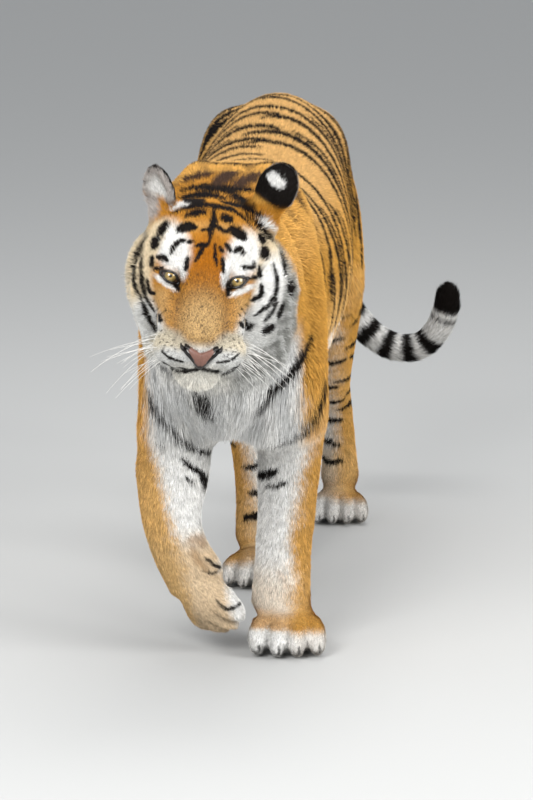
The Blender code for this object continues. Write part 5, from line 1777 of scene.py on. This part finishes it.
def whiskers(draw, collection):
    """Long white bristles from the pads and the brows, bowed and tapered."""
    points, faces = [], []
    across, rise, out = (np.array(way) for way in face_axes())
    matrix = np.array(head_frame())
    for side in (-1, 1):
        for row in range(WHISKER_ROWS):
            for place in range(WHISKERS_IN_ROW):
                root = np.array(WHISKER_ROOT) + place * np.array(WHISKER_STEP) + row * np.array(ROW_STEP)
                root = root * (side, 1, 1) + draw.normal(0, 0.001, 3)
                start = matrix[:3, :3] @ (root * np.array([1, -1, 1])) + matrix[:3, 3]
                way = across * side * draw.uniform(0.75, 1.0)
                way = way - rise * draw.uniform(0.05, 0.55) * (0.5 + 0.3 * row)
                way = way + out * draw.uniform(-0.15, 0.45)
                way /= np.linalg.norm(way)
                long = draw.uniform(0.06, 0.15) * (1.0 - 0.10 * row)
                sag = -rise * draw.uniform(0.10, 0.40) - out * draw.uniform(0.1, 0.4)
                t = np.linspace(0, 1, 9)[:, None]
                path = start - way * 0.004 + way * long * t + sag * long * t**2
                tube(points, faces, path, WHISKER_RADIUS * (1 - 0.80 * t[:, 0]) + TIP_RADIUS, corners=4)
    for side, (x, y) in BROW_ROOTS:
        for hair in range(BROW_WHISKERS):
            start = np.array(head_frame() @ in_head(x + 0.004 * hair * side, 0.022, y))
            way = unit((rise + across * side * draw.uniform(0.1, 0.6) + out * 0.8)[None])[0]
            long = draw.uniform(0.035, 0.065)
            t = np.linspace(0, 1, 7)[:, None]
            path = start + way * long * t + across * side * long * 0.25 * t**2
            tube(points, faces, path, BROW_RADIUS * (1 - 0.85 * t[:, 0]) + TIP_RADIUS, corners=4)
    made = mesh_of("whiskers", np.concatenate(points), np.array(faces), collection)
    starts = np.repeat((np.arange(len(points)) + 0.5) / len(points), [len(some) for some in points])
    corner = np.arange(len(starts))
    patches = np.stack([starts + corner % 2 * MAP_PATCH, 0.5 + corner // 2 % 2 * MAP_PATCH], axis=1)
    add_map(made, np.array(faces), patches)
    return made


# ---- Materials -------------------------------------------------------------------------------
def shader_of(name, roughness, specular):
    """A new material, its nodes and links, and its shader."""
    material = bpy.data.materials.new(name)
    material.use_nodes = True
    nodes, links = material.node_tree.nodes, material.node_tree.links
    shader = nodes["Principled BSDF"]
    shader.inputs["Roughness"].default_value = roughness
    shader.inputs["Specular IOR Level"].default_value = specular
    return material, nodes, links, shader


def painted(name, roughness, specular, grain, bump=0.0, amount=0.25, stretch=(1, 1, 1)):
    """A material in the mesh's own colours, broken by a noise of that many grains a metre."""
    material, nodes, links, shader = shader_of(name, roughness, specular)
    paint = nodes.new("ShaderNodeAttribute")
    paint.attribute_name = "coat"
    place = nodes.new("ShaderNodeTexCoord")
    stretched = nodes.new("ShaderNodeMapping")
    stretched.inputs["Scale"].default_value = stretch
    noise = nodes.new("ShaderNodeTexNoise")
    noise.inputs["Scale"].default_value = grain
    noise.inputs["Detail"].default_value = 4.0
    level = nodes.new("ShaderNodeMapRange")
    level.inputs["From Min"].default_value = 0.3
    level.inputs["From Max"].default_value = 0.7
    level.inputs["To Min"].default_value = 1 - amount
    level.inputs["To Max"].default_value = 1 + amount
    scaled = nodes.new("ShaderNodeVectorMath")
    scaled.operation = "SCALE"
    links.new(place.outputs["Object"], stretched.inputs["Vector"])
    links.new(stretched.outputs["Vector"], noise.inputs["Vector"])
    links.new(noise.outputs["Fac"], level.inputs["Value"])
    links.new(paint.outputs["Color"], scaled.inputs[0])
    links.new(level.outputs["Result"], scaled.inputs["Scale"])
    links.new(scaled.outputs["Vector"], shader.inputs["Base Color"])
    if bump:
        raised = nodes.new("ShaderNodeBump")
        raised.inputs["Distance"].default_value = bump
        raised.inputs["Strength"].default_value = 0.6
        links.new(noise.outputs["Fac"], raised.inputs["Height"])
        links.new(raised.outputs["Normal"], shader.inputs["Normal"])
    return material


def whisker_material():
    """Off-white bristle, a little darker and warmer in places."""
    material, nodes, links, shader = shader_of("bristle", 0.35, 0.5)
    noise = nodes.new("ShaderNodeTexNoise")
    noise.inputs["Scale"].default_value = 60.0
    colours = nodes.new("ShaderNodeValToRGB")
    colours.color_ramp.elements[0].color = (0.55, 0.52, 0.46, 1)
    colours.color_ramp.elements[1].color = (0.92, 0.91, 0.88, 1)
    links.new(noise.outputs["Fac"], colours.inputs["Fac"])
    links.new(colours.outputs["Color"], shader.inputs["Base Color"])
    return material


# ---- Stage -----------------------------------------------------------------------------------
def add_floor(collection):
    """A plain pale floor."""
    mesh = bpy.data.meshes.new("floor")
    corners = [(-FLOOR_HALF, -FLOOR_HALF, 0), (FLOOR_HALF, -FLOOR_HALF, 0)]
    corners += [(FLOOR_HALF, FLOOR_HALF, 0), (-FLOOR_HALF, FLOOR_HALF, 0)]
    mesh.from_pydata(corners, [], [(0, 1, 2, 3)])
    floor = bpy.data.objects.new("floor", mesh)
    collection.objects.link(floor)
    material, _, _, shader = shader_of("pale_floor", 0.75, 0.2)
    shader.inputs["Base Color"].default_value = FLOOR_GREY
    mesh.materials.append(material)


def add_lights(collection):
    """Soft light from all round, and from wide lamps at both sides and above."""
    world = bpy.data.worlds.new("studio")
    world.use_nodes = True
    world.node_tree.nodes["Background"].inputs["Color"].default_value = SKY_WHITE
    world.node_tree.nodes["Background"].inputs["Strength"].default_value = WORLD_LIGHT
    bpy.context.scene.world = world
    for name, (place, size, power) in LAMPS.items():
        light = bpy.data.lights.new(name, "AREA")
        light.shape, light.size, light.energy = "DISK", size, power
        lamp = bpy.data.objects.new(name, light)
        lamp.location = place
        lamp.rotation_euler = (LIT_PLACE - Vector(place)).to_track_quat("-Z", "Y").to_euler()
        collection.objects.link(lamp)


def add_camera(collection):
    """The camera of the main view, in front of the tiger and a little to its left."""
    camera_data = bpy.data.cameras.new("camera")
    camera_data.lens = CAMERA_LENS
    camera_data.clip_end = 200
    camera = bpy.data.objects.new("camera", camera_data)
    turn = math.radians(CAMERA_AZIMUTH)
    aim = Vector(CAMERA_AIM) + SHIFT
    camera.location = aim + Vector((math.sin(turn), -math.cos(turn), 0)) * CAMERA_DISTANCE
    camera.location.z = CAMERA_HEIGHT
    camera.rotation_euler = (aim - camera.location).to_track_quat("-Z", "Y").to_euler()
    collection.objects.link(camera)
    bpy.context.scene.camera = camera
    bpy.context.scene.view_settings.view_transform = "Standard"


# ---- Putting it together ---------------------------------------------------------------------
def moved(made):
    """Moves a finished piece from the design frame to the row frame and lets it ride."""
    made.data.transform(Matrix.Translation(SHIFT))
    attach(made, "root")
    return made


def skin_surface(collection):
    """The points, normals, triangles and colours of the skin, inside the flesh by the coat's depth."""
    flesh = merged_flesh(collection)
    points, normals = points_of(flesh.data), normals_of(flesh.data)
    faces = triangles_of(flesh.data)
    bpy.data.objects.remove(flesh)
    shares = regions(points, normals)
    points = points - normals * hair_of(shares)[1][:, None]
    points = with_lids(sculpted(points, normals))
    points[:, 2] = np.maximum(points[:, 2], SOLE_LEVEL)
    # The skin takes the coat's colours darkened by painted shade, as it lies in the shade of the hair.
    colour = coat_colour(points, normals, shares, np.zeros((len(points), 2))) * SKIN_PAINTED_SHADE
    return points, faces, np.clip(colour, 0, 1)


def bare(points, faces):
    """Which of the skin's triangles have no hair: the soles, the lids' edges and under the nose leather."""
    without = np.zeros(len(points), bool)
    for side in (-1, 1):
        local = within(points, eye_frame(side))
        gap = inside_outline(local[:, 0], local[:, 1], lid_outline())
        without |= (gap < 0.0018) & (local[:, 2] > -0.02) & (np.hypot(local[:, 0], local[:, 1]) < 0.04)
    side, forward, up = to_head(points).T
    rise = up - NOSE_PLACE[2]
    on_nose = (np.abs(side) < nose_half(rise) - 0.0015) & (rise < nose_top(side) - 0.001)
    without |= on_nose & (forward > 0.10)
    soles = points[faces][:, :, 2].min(axis=1) <= SOLE_LEVEL + 0.002
    return soles | without[faces].any(axis=1)


def add_coat(points, normals, faces, draw, collection):
    """The coat, in pieces of one kind of hair each."""
    fur = painted("fur", 0.70, 0.05, 90.0, amount=0.14)
    shares = regions(points, normals)
    at_faces = np.stack([share[faces].mean(axis=1) for share in shares.values()])
    region_of = np.array(list(shares))[at_faces.argmax(axis=0)]
    on_left = points[faces][:, :, 0].mean(axis=1) > TRUNK_SHIFT
    region_of = np.where((region_of == "belly") & on_left, "belly_left", region_of)
    hairy = ~bare(points, faces)
    for piece, members in COAT_PIECES.items():
        mine = np.isin(region_of, members) & hairy
        coat = locks("coat_" + piece, (points, normals, shares), faces[mine], draw, collection)
        coat.data.materials.append(fur)
        moved(coat)


def add_eyes(collection):
    """The eyeballs and the black rims of the lids."""
    wet = painted("wet_eye", 0.12, 0.5, 900.0, amount=0.18)
    shader = wet.node_tree.nodes["Principled BSDF"]
    shader.inputs["Coat Weight"].default_value = 1.0
    shader.inputs["Coat Roughness"].default_value = 0.03
    for side, name in ((-1, "right"), (1, "left")):
        ball = eyeball(side, collection)
        ball.data.materials.append(wet)
        moved(ball)
        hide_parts("eye_" + name)
    rims = lid_rims(collection)
    rims.data.materials.append(painted("lid_edge", 0.30, 0.5, 500.0, bump=0.0002, amount=0.3))
    moved(rims)


def main():
    """Makes every piece of the tiger, then its stage."""
    scene = bpy.data.collections.new("tiger")
    bpy.context.scene.collection.children.link(scene)
    draw = np.random.default_rng(SEED)
    points, faces, colour = skin_surface(scene)
    skin = mesh_of("skin", points, faces, scene, colour)
    normals = normals_of(skin.data)
    hide = painted("hide", 0.75, 0.15, 420.0, bump=0.0012, amount=0.25, stretch=(1, 1, 0.35))
    skin.data.materials.append(hide)
    moved(skin)
    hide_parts(*[name for name in frame["nodes"] if not name.startswith(("eye", "nose"))])
    add_coat(points, normals, faces, draw, scene)
    add_eyes(scene)
    nose = nose_leather(scene)
    nose.data.materials.append(painted("nose_leather", 0.42, 0.4, 700.0, bump=0.0005, amount=0.22))
    moved(nose)
    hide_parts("nose")
    bristles = whiskers(draw, scene)
    bristles.data.materials.append(whisker_material())
    moved(bristles)
    add_floor(scene)
    add_lights(scene)
    add_camera(scene)


main()
